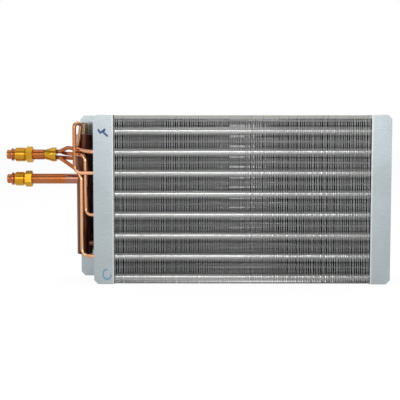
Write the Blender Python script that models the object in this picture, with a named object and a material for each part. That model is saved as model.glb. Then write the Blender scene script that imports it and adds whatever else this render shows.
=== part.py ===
"""Evaporator coil: three rows of eight copper tubes through flat aluminium fins, held by two folded end
plates, fed by a brass distributor and four thin tubes, and drained by a copper header.

Sizes are in metres. The coil's own frame has X along the tubes, with 0 at the fin side of the left plate's
web, Y from the front flanges' face to the back, and Z up from the plates' bottom edges. An empty carries that
frame, so that the finished part stands centred over the origin.
"""
import math

import bmesh
import bpy
from mathutils import Matrix, Vector

# Tube field: staggered rows, every neighbour one pitch away. The lowest tube of an outer row stands
# LOWEST_TUBE pitches above the fins' bottom edge, and a middle row ROW_STAGGER pitches higher.
TUBE_DIAMETER = 0.00953
TUBE_WALL = 0.0005
TUBE_PITCH = 0.0254
ROW_COUNT = 3
TUBES_PER_ROW = 8
LOWEST_TUBE = 0.25
ROW_STAGGER = 0.5
TUBE_SIDES = 6
BEND_STEPS = 5
TUBE_CREASE = 65

# Fin pack: the gaps between the fins are this deep along the fins' front and back edges and their ends
FIN_COUNT = 144
FIN_LENGTH = 0.3048
FIN_THICKNESS = 0.0004
FIN_INSET = 0.001
FIN_END_GAP = 0.002
FIN_LIFT = 0.0002
EDGE_GAP_DEPTH = 0.0055
TOP_GAP_DEPTH = 0.0008

# Tube ends
BELL_GAP = 0.001
BELL_LENGTH = 0.006
BELL_WALL = 0.0004
FLARE_LENGTH = 0.0008
SEAT_DEPTH = 0.005
HAIRPIN_REACH = 0.0025
RETURN_REACH = 0.0005

# End plates
PLATE_OVERHANG = 0.0007
PLATE_DEPTH = 0.068
PLATE_THICKNESS = 0.0012
FOLD_RADIUS = 0.0012
FOLD_STEPS = 2
FRONT_FLANGE = 0.0246
LEFT_REAR_FLANGE = 0.0486
RIGHT_REAR_FLANGE = 0.0246
CORNER_CUT = 0.005

# Suction header
HEADER_DIAMETER = 0.01905
HEADER_WALL = 0.001
HEADER_X = -0.041
HEADER_Y = 0.045
HEADER_ABOVE_OUTLET = 0.02135
HEADER_BELOW_OUTLET = 0.01385
HEADER_SIDES = 16
CAP_RIM = 0.001
CAP_PLUG = 0.003
TOP_STUB_HEIGHT = 0.0145
TOP_STUB_WALL = 0.0008
STUB_RUN = 0.0037
STUB_BEND_RADIUS = 0.012
STUB_BEND_STEP = math.radians(12)
STUB_INSERTION = 0.0025

# Lines and their swivel nuts
LINE_DIAMETER = 0.0127
LINE_WALL = 0.0008
LINE_TIP_X = -0.1369
SUCTION_BELOW_TOP = 0.0553
LINE_SPACING = 0.0302
PILOT_DIAMETER = 0.0116
PILOT_LENGTH = 0.0053
PILOT_CHAMFER = 0.0006
BEAD_DIAMETER = 0.0161
BEAD_WIDTH = 0.0032
BEAD_ROUND = 0.0007
SUCTION_INSERTION = 0.0025
TURNED_SIDES = 12
NUT_RUNNING_GAP = 0.00015
THREAD_DIAMETER = 0.0174
THREAD_CHAMFER = 0.0008
RELIEF_WIDTH = 0.0014
RELIEF_DEPTH = 0.0008
RIM_WIDTH = 0.0008
HEX_FLATS = 0.0176
HEX_CHAMFER = 0.0007
LIQUID_NUT_X = -0.1267
LIQUID_THREAD_LENGTH = 0.0135
LIQUID_HEX_LENGTH = 0.0088
LIQUID_NUT_TURN = math.radians(7.0)
SUCTION_NUT_X = -0.1273
SUCTION_THREAD_LENGTH = 0.012
SUCTION_HEX_LENGTH = 0.0099
SUCTION_NUT_TURN = math.radians(-7.7)

# Distributor and feed tubes
DISTRIBUTOR_X = -0.0905
DISTRIBUTOR_LENGTH = 0.0151
DISTRIBUTOR_SMALL = 0.0118
DISTRIBUTOR_LARGE = 0.0176
DISTRIBUTOR_RIM = 0.005
SPIGOT_LENGTH = 0.005
PORT_SPREAD = 0.0036
PORT_DEPTH = 0.006
FEED_DIAMETER = 0.00476
FEED_WALL = 0.0007
FEED_SIDES = 6
FEED_BEND_RADIUS = 0.009
FEED_BEND_STEP = math.radians(45)
FEED_INSERTION = 0.004
FEED_STRAIGHT = 0.004
INLET_RUN = 0.017
NECK_WALL = 0.0005
LOOP_BELOW_PLATE_TOP = 0.0076

# Gap that brazed and seated pieces keep to each other
SEAT_GAP = 0.0003

# A bend may use this share of the room beside it, and a route ends along the tubes above this cosine
BEND_SHARE = 0.98
ALIGNED = 0.999

# Values worked out from the sizes above
TUBE_RADIUS = TUBE_DIAMETER / 2
BEND_RADIUS = TUBE_PITCH / 2
ROW_SPACING = TUBE_PITCH * math.sin(math.radians(60))
HEADER_RADIUS = HEADER_DIAMETER / 2
TOP_STUB_DIAMETER = HEADER_DIAMETER / 2
FEED_RADIUS = FEED_DIAMETER / 2
LINE_RADIUS = LINE_DIAMETER / 2
FIRST_ROW_Y = (PLATE_DEPTH - (ROW_COUNT - 1) * ROW_SPACING) / 2
RIGHT_WEB_X = FIN_LENGTH + 2 * FIN_END_GAP
FIN_HEIGHT = TUBES_PER_ROW * TUBE_PITCH
FIN_BOTTOM = PLATE_OVERHANG + FIN_LIFT
PLATE_HEIGHT = FIN_HEIGHT + 2 * PLATE_OVERHANG
LOOP_TOP = PLATE_HEIGHT - LOOP_BELOW_PLATE_TOP
BELL_START = -PLATE_THICKNESS - BELL_GAP
BELL_END = BELL_START - BELL_LENGTH
ALONG_X = Vector((1.0, 0.0, 0.0))
UP = Vector((0.0, 0.0, 1.0))

# The four circuits, each from its inlet to its outlet, as (row, tube counted from the top)
CIRCUITS = (
    ((1, 1), (1, 0), (2, 0), (2, 1), (3, 0), (3, 1)),
    ((1, 2), (1, 3), (2, 3), (2, 2), (3, 2), (3, 3)),
    ((1, 4), (1, 5), (2, 5), (2, 4), (3, 4), (3, 5)),
    ((1, 6), (1, 7), (2, 7), (3, 7), (3, 6), (2, 6)),
)



def tube_centre(row, place):
    """Y and Z of a tube's axis, its place counted from the top."""
    raised = ROW_STAGGER if row % 2 == 0 else 0.0
    y = FIRST_ROW_Y + (row - 1) * ROW_SPACING
    z = FIN_BOTTOM + (TUBES_PER_ROW - 1 - place + LOWEST_TUBE + raised) * TUBE_PITCH
    return y, z


# The header reaches past the highest and the lowest outlet, and the lines hang from its top
OUTLET_HEIGHTS = [tube_centre(*circuit[-1])[1] for circuit in CIRCUITS]
HEADER_TOP = max(OUTLET_HEIGHTS) + HEADER_ABOVE_OUTLET
HEADER_BOTTOM = min(OUTLET_HEIGHTS) - HEADER_BELOW_OUTLET
SUCTION_Z = HEADER_TOP - SUCTION_BELOW_TOP
LIQUID_Z = SUCTION_Z + LINE_SPACING

# Each feed tube's distributor port, as (side to the front, side up), and its bends on the way to the inlet.
# A bend is given round the header: degrees from +X, the gap it leaves to the header, and its height.
FEEDS = (
    ((-1, 1), ((204, 0.0090, LIQUID_Z + 0.0089), (277, 0.0139, LIQUID_Z + 0.0053))),
    ((1, -1), ((221, 0.0010, LIQUID_Z - 0.0048), (231, 0.0008, LIQUID_Z + 0.0101), (263, 0.0042, LOOP_TOP),
               (246, 0.0133, LOOP_TOP), (247, 0.0135, None))),
    ((1, 1), ((180, 0.0121, LIQUID_Z + 0.0017), (210, 0.0089, LIQUID_Z + 0.0013),
              (281, 0.0115, LIQUID_Z + 0.0001), (282, 0.0121, None))),
    ((-1, -1), ((200, 0.0110, LIQUID_Z - 0.0093), (252, 0.0071, LIQUID_Z - 0.0189),
                (268, 0.0086, LIQUID_Z - 0.0290), (270, 0.0141, None))),
)


def clear_scene():
    for obj in list(bpy.data.objects):
        bpy.data.objects.remove(obj, do_unlink=True)


def make_frame():
    """The empty that carries the coil's own frame over the part's origin."""
    frame = bpy.data.objects.new("coil_frame", None)
    bpy.context.scene.collection.objects.link(frame)
    x_middle = (LINE_TIP_X + RIGHT_WEB_X + max(FRONT_FLANGE, RIGHT_REAR_FLANGE)) / 2
    frame.location = (-x_middle, -PLATE_DEPTH / 2, 0.0)
    return frame


def make_material(name, colour, roughness, metallic):
    material = bpy.data.materials.new(name)
    material.use_nodes = True
    material.diffuse_color = (*colour, 1.0)
    shader = material.node_tree.nodes["Principled BSDF"]
    shader.inputs["Base Color"].default_value = (*colour, 1.0)
    shader.inputs["Roughness"].default_value = roughness
    shader.inputs["Metallic"].default_value = metallic
    return material


def make_object(name, bm, material=None, crease=40):
    """Turn a bmesh into a named object in the coil's frame."""
    bmesh.ops.recalc_face_normals(bm, faces=bm.faces[:])
    mesh = bpy.data.meshes.new(name)
    bm.to_mesh(mesh)
    bm.free()
    mesh.shade_smooth()
    mesh.set_sharp_from_angle(angle=math.radians(crease))
    obj = bpy.data.objects.new(name, mesh)
    bpy.context.scene.collection.objects.link(obj)
    obj.parent = COIL
    if material is not None:
        mesh.materials.append(material)
    return obj


def cut(target, bm):
    """Cut the closed shapes in bm out of target."""
    cutter = make_object(target.name + "_cutter", bm)
    cutter.hide_render = True
    cutter.display_type = 'WIRE'
    modifier = target.modifiers.new("holes", 'BOOLEAN')
    modifier.operation = 'DIFFERENCE'
    modifier.solver = 'EXACT'
    modifier.object = cutter


def clear_radius(radius, sides, gap=SEAT_GAP):
    """Corner radius of a faceted hole whose flats clear a round piece by gap, however it is turned."""
    return (radius + gap) / math.cos(math.pi / sides)


def seat_radius(radius, sides, gap=SEAT_GAP):
    """Corner radius of a faceted hole that stands gap clear of a piece with the same facets, all round."""
    return radius + gap / math.cos(math.pi / sides)


def on_tube(tube, x):
    y, z = tube_centre(*tube)
    return Vector((x, y, z))


def all_tubes():
    for row in range(1, ROW_COUNT + 1):
        for place in range(TUBES_PER_ROW):
            yield row, place


def ring_points(centre, direction, normal, radius, sides):
    """Corners of a regular polygon across a direction, the first one towards normal."""
    side = direction.cross(normal)
    points = []
    for index in range(sides):
        angle = 2 * math.pi * index / sides
        points.append(centre + (normal * math.cos(angle) + side * math.sin(angle)) * radius)
    return points


def join_rings(bm, first, second):
    count = len(first)
    for index in range(count):
        after = (index + 1) % count
        bm.faces.new((first[index], first[after], second[after], second[index]))


def loft(bm, rings, closed):
    """Skin a list of rings; closed joins the last to the first, otherwise both ends are capped."""
    loops = [[bm.verts.new(point) for point in ring] for ring in rings]
    for first, second in zip(loops, loops[1:]):
        join_rings(bm, first, second)
    if closed:
        join_rings(bm, loops[-1], loops[0])
    else:
        bm.faces.new(loops[0])
        bm.faces.new(loops[-1])


def carried_normals(directions, start, sides):
    """Ring normals carried along a route without twist. The small turn that brings the last ring's
    corners back in line with the first is spread over the bends."""
    normals = [start]
    turned = [0.0]
    for before, after in zip(directions, directions[1:]):
        normals.append(before.rotation_difference(after) @ normals[-1])
        turned.append(turned[-1] + before.angle(after, 0.0))
    end = directions[-1]
    if turned[-1] == 0.0 or abs(end.x) < ALIGNED:
        return normals
    offset = math.atan2(normals[-1].cross(start).dot(end), normals[-1].dot(start))
    step = 2 * math.pi / sides
    offset -= step * round(offset / step)
    return [Matrix.Rotation(offset * turn / turned[-1], 3, direction) @ normal
            for normal, direction, turn in zip(normals, directions, turned)]


def sweep(bm, stations, sides):
    """A tube along stations of (centre, direction, outer radius, inner radius)."""
    directions = [station[1] for station in stations]
    normals = carried_normals(directions, UP, sides)
    outer = []
    inner = []
    for (centre, direction, outer_radius, inner_radius), normal in zip(stations, normals):
        outer.append(ring_points(centre, direction, normal, outer_radius, sides))
        inner.append(ring_points(centre, direction, normal, inner_radius, sides))
    loft(bm, outer + inner[::-1], closed=True)


def arc_stations(start, into, out, radius, steps, outer_radius, inner_radius):
    """Stations round one bend that turns from direction into to direction out."""
    angle = into.angle(out)
    towards = (out - into * math.cos(angle)).normalized()
    centre = start + towards * radius
    stations = []
    for step in range(steps + 1):
        turn = angle * step / steps
        point = centre - towards * radius * math.cos(turn) + into * radius * math.sin(turn)
        direction = into * math.cos(turn) + towards * math.sin(turn)
        stations.append((point, direction, outer_radius, inner_radius))
    return stations


def rounded_route(corners, radius, step_angle, outer_radius, inner_radius):
    """Stations along straight runs whose corners are rounded; a bend takes at most half of each run."""
    first = (corners[1] - corners[0]).normalized()
    last = (corners[-1] - corners[-2]).normalized()
    stations = [(corners[0], first, outer_radius, inner_radius)]
    for index in range(1, len(corners) - 1):
        before, corner, after = corners[index - 1:index + 2]
        into = (corner - before).normalized()
        out = (after - corner).normalized()
        angle = into.angle(out)
        room_before = (corner - before).length * (1.0 if index == 1 else 0.5)
        room_after = (after - corner).length * (1.0 if index == len(corners) - 2 else 0.5)
        reach = min(radius * math.tan(angle / 2), BEND_SHARE * min(room_before, room_after))
        steps = max(1, math.ceil(angle / step_angle))
        bend_radius = reach / math.tan(angle / 2)
        stations += arc_stations(corner - into * reach, into, out, bend_radius, steps,
                                 outer_radius, inner_radius)
    stations.append((corners[-1], last, outer_radius, inner_radius))
    return stations


def turned(name, profile, sides, material, place, axis=ALONG_X, closed=True, turn=0.0):
    """A turned piece: profile is (distance along the axis, radius), and a radius in a pair with 'hex' is
    half the width across flats of a hexagon."""
    start = UP if axis is ALONG_X else ALONG_X
    start = Matrix.Rotation(turn, 3, axis) @ start
    rings = []
    for distance, radius, *shape in profile:
        centre = place + axis * distance
        points = ring_points(centre, axis, start, radius, sides)
        if shape:
            stretch = 1 / math.cos(math.pi / 6)
            points[::2] = [centre + (point - centre) * stretch for point in points[::2]]
        rings.append(points)
    bm = bmesh.new()
    loft(bm, rings, closed)
    return make_object(name, bm, material)


def prism(bm, start, end, radius, sides):
    """A closed prism between two points, for cutting round holes."""
    direction = (end - start).normalized()
    across = UP if abs(direction.z) < 0.9 else ALONG_X
    normal = (across - direction * across.dot(direction)).normalized()
    rings = [ring_points(point, direction, normal, radius, sides) for point in (start, end)]
    loft(bm, rings, closed=False)


def plate_section(front, rear, short):
    """Outline of a folded plate's section as (distance outwards from the fin side, depth). The flanges are
    shortened by short."""
    outer_radius = FOLD_RADIUS + PLATE_THICKNESS
    outer = [(front - short, 0.0)]
    inner = [(front - short, PLATE_THICKNESS)]
    for turn_centre, first in ((outer_radius, -90), (PLATE_DEPTH - outer_radius, 180)):
        for step in range(FOLD_STEPS + 1):
            angle = math.radians(first - 90 * step / FOLD_STEPS)
            across = Vector((math.cos(angle), math.sin(angle)))
            centre = Vector((outer_radius, turn_centre))
            outer.append(tuple(centre + across * outer_radius))
            inner.append(tuple(centre + across * FOLD_RADIUS))
    outer.append((rear - short, PLATE_DEPTH))
    inner.append((rear - short, PLATE_DEPTH - PLATE_THICKNESS))
    return outer + inner[::-1]


def make_end_plate(name, web_x, outwards, rear_flange, material):
    """A sheet folded into a web and two flanges, its free corners cut off, its web pierced for the tubes."""
    levels = ((0.0, CORNER_CUT), (CORNER_CUT, 0.0), (PLATE_HEIGHT - CORNER_CUT, 0.0), (PLATE_HEIGHT, CORNER_CUT))
    rings = []
    for height, short in levels:
        section = plate_section(FRONT_FLANGE, rear_flange, short)
        rings.append([Vector((web_x + outwards * along, depth, height)) for along, depth in section])
    bm = bmesh.new()
    loft(bm, rings, closed=False)
    plate = make_object(name, bm, material)
    holes = bmesh.new()
    radius = seat_radius(TUBE_RADIUS, TUBE_SIDES)
    for tube in all_tubes():
        near = on_tube(tube, web_x - outwards * PLATE_THICKNESS)
        far = on_tube(tube, web_x + outwards * 2 * PLATE_THICKNESS)
        prism(holes, near, far, radius, TUBE_SIDES)
    cut(plate, holes)


def fin_outline(x, edge_depth, top_depth):
    """Corners of a fin's outline at x, drawn in by edge_depth at the front and back and by top_depth at the
    top and bottom."""
    front = FIN_INSET + edge_depth
    back = PLATE_DEPTH - front
    bottom = FIN_BOTTOM + top_depth
    top = FIN_BOTTOM + FIN_HEIGHT - top_depth
    return [Vector((x, y, z)) for y, z in ((front, bottom), (back, bottom), (back, top), (front, top))]


def make_fin_pack(material):
    """The stacked fins as one solid, pierced for every tube. Each fin's edge stands out all round; between
    two fins the gap is open down to just short of the outer tubes' collars."""
    pitch = (FIN_LENGTH - FIN_THICKNESS) / (FIN_COUNT - 1)
    rings = []
    for index in range(FIN_COUNT):
        left = FIN_END_GAP + index * pitch
        right = left + FIN_THICKNESS
        if index > 0:
            rings.append(fin_outline(left, EDGE_GAP_DEPTH, TOP_GAP_DEPTH))
        rings.append(fin_outline(left, 0.0, 0.0))
        rings.append(fin_outline(right, 0.0, 0.0))
        if index < FIN_COUNT - 1:
            rings.append(fin_outline(right, EDGE_GAP_DEPTH, TOP_GAP_DEPTH))
    bm = bmesh.new()
    loft(bm, rings, closed=False)
    pack = make_object("fin_pack", bm, material)
    holes = bmesh.new()
    for tube in all_tubes():
        near = on_tube(tube, 0.0)
        far = on_tube(tube, RIGHT_WEB_X)
        prism(holes, near, far, seat_radius(TUBE_RADIUS, TUBE_SIDES), TUBE_SIDES)
    cut(pack, holes)


def leg_end(tube, necked):
    """Stations of a tube's open left end, from its mouth inwards: a bell for a return bend or a stub, or a
    neck for a feed tube."""
    bore = TUBE_RADIUS - TUBE_WALL
    mouth_bore = seat_radius(TUBE_RADIUS, TUBE_SIDES)
    mouth = mouth_bore + BELL_WALL
    if necked:
        mouth_bore = clear_radius(FEED_RADIUS, TUBE_SIDES)
        mouth = mouth_bore + NECK_WALL
    return [
        (on_tube(tube, BELL_END), ALONG_X, mouth, mouth_bore),
        (on_tube(tube, BELL_START - FLARE_LENGTH), ALONG_X, mouth, mouth_bore),
        (on_tube(tube, BELL_START), ALONG_X, TUBE_RADIUS, bore),
    ]


def make_hairpin(name, first, second, first_necked, material):
    """Two legs and the bend that joins them past the right plate."""
    bend_x = RIGHT_WEB_X + PLATE_THICKNESS + HAIRPIN_REACH
    across = (on_tube(second, 0.0) - on_tube(first, 0.0)).normalized()
    bore = TUBE_RADIUS - TUBE_WALL
    half = half_turn(on_tube(first, bend_x), ALONG_X, across, TUBE_RADIUS, bore)
    back = [(centre, -direction, outer, inner)
            for centre, direction, outer, inner in reversed(leg_end(second, False))]
    bm = bmesh.new()
    sweep(bm, leg_end(first, first_necked) + half + back, TUBE_SIDES)
    make_object(name, bm, material, TUBE_CREASE)


def half_turn(start, into, across, outer_radius, inner_radius):
    """Stations round a U-bend from start, first along into, that ends one tube pitch across."""
    centre = start + across * BEND_RADIUS
    stations = []
    for step in range(BEND_STEPS + 1):
        turn = math.pi * step / BEND_STEPS
        point = centre - across * BEND_RADIUS * math.cos(turn) + into * BEND_RADIUS * math.sin(turn)
        direction = into * math.cos(turn) + across * math.sin(turn)
        stations.append((point, direction, outer_radius, inner_radius))
    return stations


def make_return_bend(name, first, second, material):
    """A U-bend whose two ends sit in the bells of neighbouring hairpins."""
    seat_x = BELL_END + SEAT_DEPTH
    bend_x = BELL_END - RETURN_REACH
    across = (on_tube(second, 0.0) - on_tube(first, 0.0)).normalized()
    bore = TUBE_RADIUS - TUBE_WALL
    stations = [(on_tube(first, seat_x), -ALONG_X, TUBE_RADIUS, bore)]
    stations += half_turn(on_tube(first, bend_x), -ALONG_X, across, TUBE_RADIUS, bore)
    stations.append((on_tube(second, seat_x), ALONG_X, TUBE_RADIUS, bore))
    bm = bmesh.new()
    sweep(bm, stations, TUBE_SIDES)
    make_object(name, bm, material, TUBE_CREASE)


def header_axis(z):
    return Vector((HEADER_X, HEADER_Y, z))


def stub_route(tube):
    """Corners of a suction stub, from inside its bell to just inside the header's wall."""
    corner = on_tube(tube, BELL_END - STUB_RUN)
    aim = (header_axis(corner.z) - corner).normalized()
    end = header_axis(corner.z) - aim * (HEADER_RADIUS - STUB_INSERTION)
    return [on_tube(tube, BELL_END + SEAT_DEPTH), corner, end]


def make_stub(name, tube, material):
    stations = rounded_route(stub_route(tube), STUB_BEND_RADIUS, STUB_BEND_STEP, TUBE_RADIUS,
                             TUBE_RADIUS - TUBE_WALL)
    bm = bmesh.new()
    sweep(bm, stations, TUBE_SIDES)
    make_object(name, bm, material, TUBE_CREASE)


def make_header(outlets, material):
    """The header tube with a hole for every stub and one for the suction tube."""
    bottom = HEADER_BOTTOM + CAP_RIM + SEAT_GAP
    top = HEADER_TOP - CAP_RIM - SEAT_GAP
    inner = HEADER_RADIUS - HEADER_WALL
    profile = ((bottom, HEADER_RADIUS), (top, HEADER_RADIUS), (top, inner), (bottom, inner))
    header = turned("suction_header", profile, HEADER_SIDES, material, header_axis(0.0), axis=UP)
    holes = bmesh.new()
    for tube in outlets:
        bell, corner, end = stub_route(tube)
        outside = end + (corner - end).normalized() * HEADER_RADIUS
        prism(holes, outside, header_axis(corner.z), seat_radius(TUBE_RADIUS, TUBE_SIDES), TUBE_SIDES)
    outside = header_axis(SUCTION_Z) - ALONG_X * 2 * HEADER_RADIUS
    prism(holes, outside, header_axis(SUCTION_Z), seat_radius(LINE_RADIUS, TURNED_SIDES), TURNED_SIDES)
    cut(header, holes)


def make_header_caps(material):
    """A plug with a rim at each end of the header; the top one is pierced for the short stub."""
    plug = HEADER_RADIUS - HEADER_WALL - SEAT_GAP / math.cos(math.pi / HEADER_SIDES)
    length = CAP_RIM + SEAT_GAP + CAP_PLUG
    solid = ((0.0, HEADER_RADIUS), (CAP_RIM, HEADER_RADIUS), (CAP_RIM, plug), (length, plug))
    turned("header_cap_bottom", solid, HEADER_SIDES, material, header_axis(HEADER_BOTTOM), axis=UP, closed=False)
    bore = clear_radius(TOP_STUB_DIAMETER / 2, HEADER_SIDES)
    pierced = ((0.0, bore), (0.0, HEADER_RADIUS), (-CAP_RIM, HEADER_RADIUS), (-CAP_RIM, plug),
               (-length, plug), (-length, bore))
    turned("header_cap_top", pierced, HEADER_SIDES, material, header_axis(HEADER_TOP), axis=UP)


def make_top_stub(material):
    """A short tube through the top cap, closed at its upper end."""
    radius = TOP_STUB_DIAMETER / 2
    inner = radius - TOP_STUB_WALL
    foot = -(CAP_RIM + CAP_PLUG)
    shoulder = TOP_STUB_HEIGHT - 2 * TOP_STUB_WALL
    profile = ((shoulder - TOP_STUB_WALL, inner), (foot, inner), (foot, radius), (shoulder, radius),
               (TOP_STUB_HEIGHT, inner))
    turned("header_top_stub", profile, TURNED_SIDES, material, header_axis(HEADER_TOP), axis=UP, closed=False)


def make_line(name, height, end_x, material):
    """A line tube with its pilot nose and the bead that holds its nut."""
    pilot = PILOT_DIAMETER / 2
    bead = BEAD_DIAMETER / 2
    bead_end = PILOT_LENGTH + BEAD_WIDTH
    length = end_x - LINE_TIP_X
    profile = (
        (0.0, pilot - PILOT_CHAMFER), (PILOT_CHAMFER, pilot), (PILOT_LENGTH, pilot),
        (PILOT_LENGTH, bead - BEAD_ROUND), (PILOT_LENGTH + BEAD_ROUND, bead), (bead_end - BEAD_ROUND, bead),
        (bead_end, bead - BEAD_ROUND), (bead_end, LINE_RADIUS), (length, LINE_RADIUS),
        (length, LINE_RADIUS - LINE_WALL), (bead_end, LINE_RADIUS - LINE_WALL), (PILOT_LENGTH, pilot - LINE_WALL),
        (0.0, pilot - 2 * LINE_WALL),
    )
    turned(name, profile, TURNED_SIDES, material, Vector((LINE_TIP_X, HEADER_Y, height)))


def make_nut(name, x, height, thread_length, hex_length, turn, material):
    """A swivel nut: male thread towards the line's tip, then a relief groove, a rim and the hexagon. Its
    object sits on the axis it turns about."""
    thread = THREAD_DIAMETER / 2
    flats = HEX_FLATS / 2
    groove_end = thread_length - RIM_WIDTH
    groove_start = groove_end - RELIEF_WIDTH
    bore = clear_radius(LINE_RADIUS, TURNED_SIDES, NUT_RUNNING_GAP)
    length = thread_length + hex_length
    profile = (
        (0.0, thread - THREAD_CHAMFER), (THREAD_CHAMFER, thread), (groove_start, thread),
        (groove_start + RELIEF_DEPTH / 2, thread - RELIEF_DEPTH), (groove_end, thread - RELIEF_DEPTH),
        (groove_end, thread), (thread_length, thread),
        (thread_length + HEX_CHAMFER, flats, 'hex'), (length - HEX_CHAMFER, flats, 'hex'), (length, flats),
        (length, bore), (0.0, bore),
    )
    nut = turned(name, profile, TURNED_SIDES, material, Vector((0.0, 0.0, 0.0)), turn=turn)
    nut.location = (x, HEADER_Y, height)


def port_centre(port, x):
    front, up = port
    return Vector((x, HEADER_Y + front * PORT_SPREAD, LIQUID_Z + up * PORT_SPREAD))


def make_distributor(material):
    """A turned cone whose spigot sits in the liquid tube, with four blind ports in its large end."""
    small = DISTRIBUTOR_SMALL / 2
    large = DISTRIBUTOR_LARGE / 2
    spigot = LINE_RADIUS - LINE_WALL - SEAT_GAP / math.cos(math.pi / TURNED_SIDES)
    profile = ((-SPIGOT_LENGTH, spigot), (0.0, spigot), (0.0, small),
               (DISTRIBUTOR_LENGTH - DISTRIBUTOR_RIM, large), (DISTRIBUTOR_LENGTH, large))
    place = Vector((DISTRIBUTOR_X, HEADER_Y, LIQUID_Z))
    body = turned("distributor", profile, TURNED_SIDES, material, place, closed=False)
    holes = bmesh.new()
    face = DISTRIBUTOR_X + DISTRIBUTOR_LENGTH
    for port, bends in FEEDS:
        prism(holes, port_centre(port, face - PORT_DEPTH), port_centre(port, face + PORT_DEPTH),
              seat_radius(FEED_RADIUS, FEED_SIDES), FEED_SIDES)
    cut(body, holes)


def feed_corners(port, bends, inlet):
    """Corners of a feed tube, from its port past its bends round the header to the inlet's neck."""
    face = DISTRIBUTOR_X + DISTRIBUTOR_LENGTH
    neck = on_tube(inlet, BELL_END)
    corners = [port_centre(port, face - FEED_INSERTION), port_centre(port, face + FEED_STRAIGHT)]
    for degrees, gap, height in bends:
        distance = HEADER_RADIUS + FEED_RADIUS + gap
        angle = math.radians(degrees)
        level = neck.z if height is None else height
        corners.append(header_axis(level) + Vector((math.cos(angle), math.sin(angle), 0.0)) * distance)
    corners.append(neck - ALONG_X * INLET_RUN)
    corners.append(neck + ALONG_X * FEED_INSERTION)
    return corners


def make_feed_tube(name, port, bends, inlet, material):
    stations = rounded_route(feed_corners(port, bends, inlet), FEED_BEND_RADIUS, FEED_BEND_STEP, FEED_RADIUS,
                             FEED_RADIUS - FEED_WALL)
    bm = bmesh.new()
    sweep(bm, stations, FEED_SIDES)
    make_object(name, bm, material, TUBE_CREASE)


def main():
    steel = make_material("galvanised_steel", (0.60, 0.64, 0.66), 0.35, 1.0)
    aluminium = make_material("fin_aluminium", (0.72, 0.73, 0.75), 0.3, 1.0)
    copper = make_material("copper", (0.78, 0.42, 0.26), 0.28, 1.0)
    dark_copper = make_material("heated_copper", (0.24, 0.10, 0.08), 0.35, 1.0)
    brass = make_material("brass", (0.80, 0.62, 0.30), 0.25, 1.0)

    make_end_plate("left_end_plate", 0.0, -1, LEFT_REAR_FLANGE, steel)
    make_end_plate("right_end_plate", RIGHT_WEB_X, 1, RIGHT_REAR_FLANGE, steel)
    make_fin_pack(aluminium)

    hairpins = 0
    returns = 0
    for circuit in CIRCUITS:
        for first, second in zip(circuit[::2], circuit[1::2]):
            hairpins += 1
            make_hairpin(f"hairpin_{hairpins:02d}", first, second, first == circuit[0], copper)
        for first, second in zip(circuit[1::2], circuit[2::2]):
            returns += 1
            make_return_bend(f"return_bend_{returns}", first, second, copper)

    outlets = [circuit[-1] for circuit in CIRCUITS]
    for index, tube in enumerate(outlets, start=1):
        make_stub(f"suction_stub_{index}", tube, copper)
    make_header(outlets, dark_copper)
    make_header_caps(dark_copper)
    make_top_stub(brass)

    make_line("suction_tube", SUCTION_Z, HEADER_X - HEADER_RADIUS + SUCTION_INSERTION, copper)
    make_line("liquid_tube", LIQUID_Z, DISTRIBUTOR_X - SEAT_GAP, copper)
    make_nut("suction_nut", SUCTION_NUT_X, SUCTION_Z, SUCTION_THREAD_LENGTH, SUCTION_HEX_LENGTH,
             SUCTION_NUT_TURN, brass)
    make_nut("liquid_nut", LIQUID_NUT_X, LIQUID_Z, LIQUID_THREAD_LENGTH, LIQUID_HEX_LENGTH,
             LIQUID_NUT_TURN, brass)
    make_distributor(brass)
    for index, ((port, bends), circuit) in enumerate(zip(FEEDS, CIRCUITS), start=1):
        make_feed_tube(f"feed_tube_{index}", port, bends, circuit[0], copper)


clear_scene()
COIL = make_frame()
main()
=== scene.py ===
"""Looks of the evaporator coil: fins, tubes, plates, header, feed tubes and line ends, built round the
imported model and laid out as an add-on. Sizes are in metres."""
import math

import bmesh
import bpy
from bpy.props import FloatProperty, FloatVectorProperty, IntProperty, PointerProperty
from mathutils import Matrix, Vector


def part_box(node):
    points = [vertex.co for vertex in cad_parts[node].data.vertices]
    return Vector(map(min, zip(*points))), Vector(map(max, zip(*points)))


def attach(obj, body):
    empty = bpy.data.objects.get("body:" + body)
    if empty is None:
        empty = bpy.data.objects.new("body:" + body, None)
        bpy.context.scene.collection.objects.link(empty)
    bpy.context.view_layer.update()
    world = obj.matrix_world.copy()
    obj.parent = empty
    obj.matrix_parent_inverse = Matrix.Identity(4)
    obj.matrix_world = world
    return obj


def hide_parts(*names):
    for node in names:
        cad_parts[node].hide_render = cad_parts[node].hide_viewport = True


bl_info = {
    "name": "Evaporator Coil",
    "version": (1, 0, 0),
    "blender": (4, 5, 0),
    "location": "3D View > Sidebar > Coil",
    "description": "Builds the looks of a finned evaporator coil round its packed model",
    "category": "Add Mesh",
}

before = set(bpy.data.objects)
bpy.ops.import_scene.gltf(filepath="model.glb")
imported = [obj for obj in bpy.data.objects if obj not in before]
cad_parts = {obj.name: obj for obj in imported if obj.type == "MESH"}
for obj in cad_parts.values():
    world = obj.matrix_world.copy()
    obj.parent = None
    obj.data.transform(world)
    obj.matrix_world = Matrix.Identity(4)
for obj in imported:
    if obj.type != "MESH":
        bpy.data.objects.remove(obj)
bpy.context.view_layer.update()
ROOT = "coil"

ALONG_X = Vector((1.0, 0.0, 0.0))
UP = Vector((0.0, 0.0, 1.0))

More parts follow.
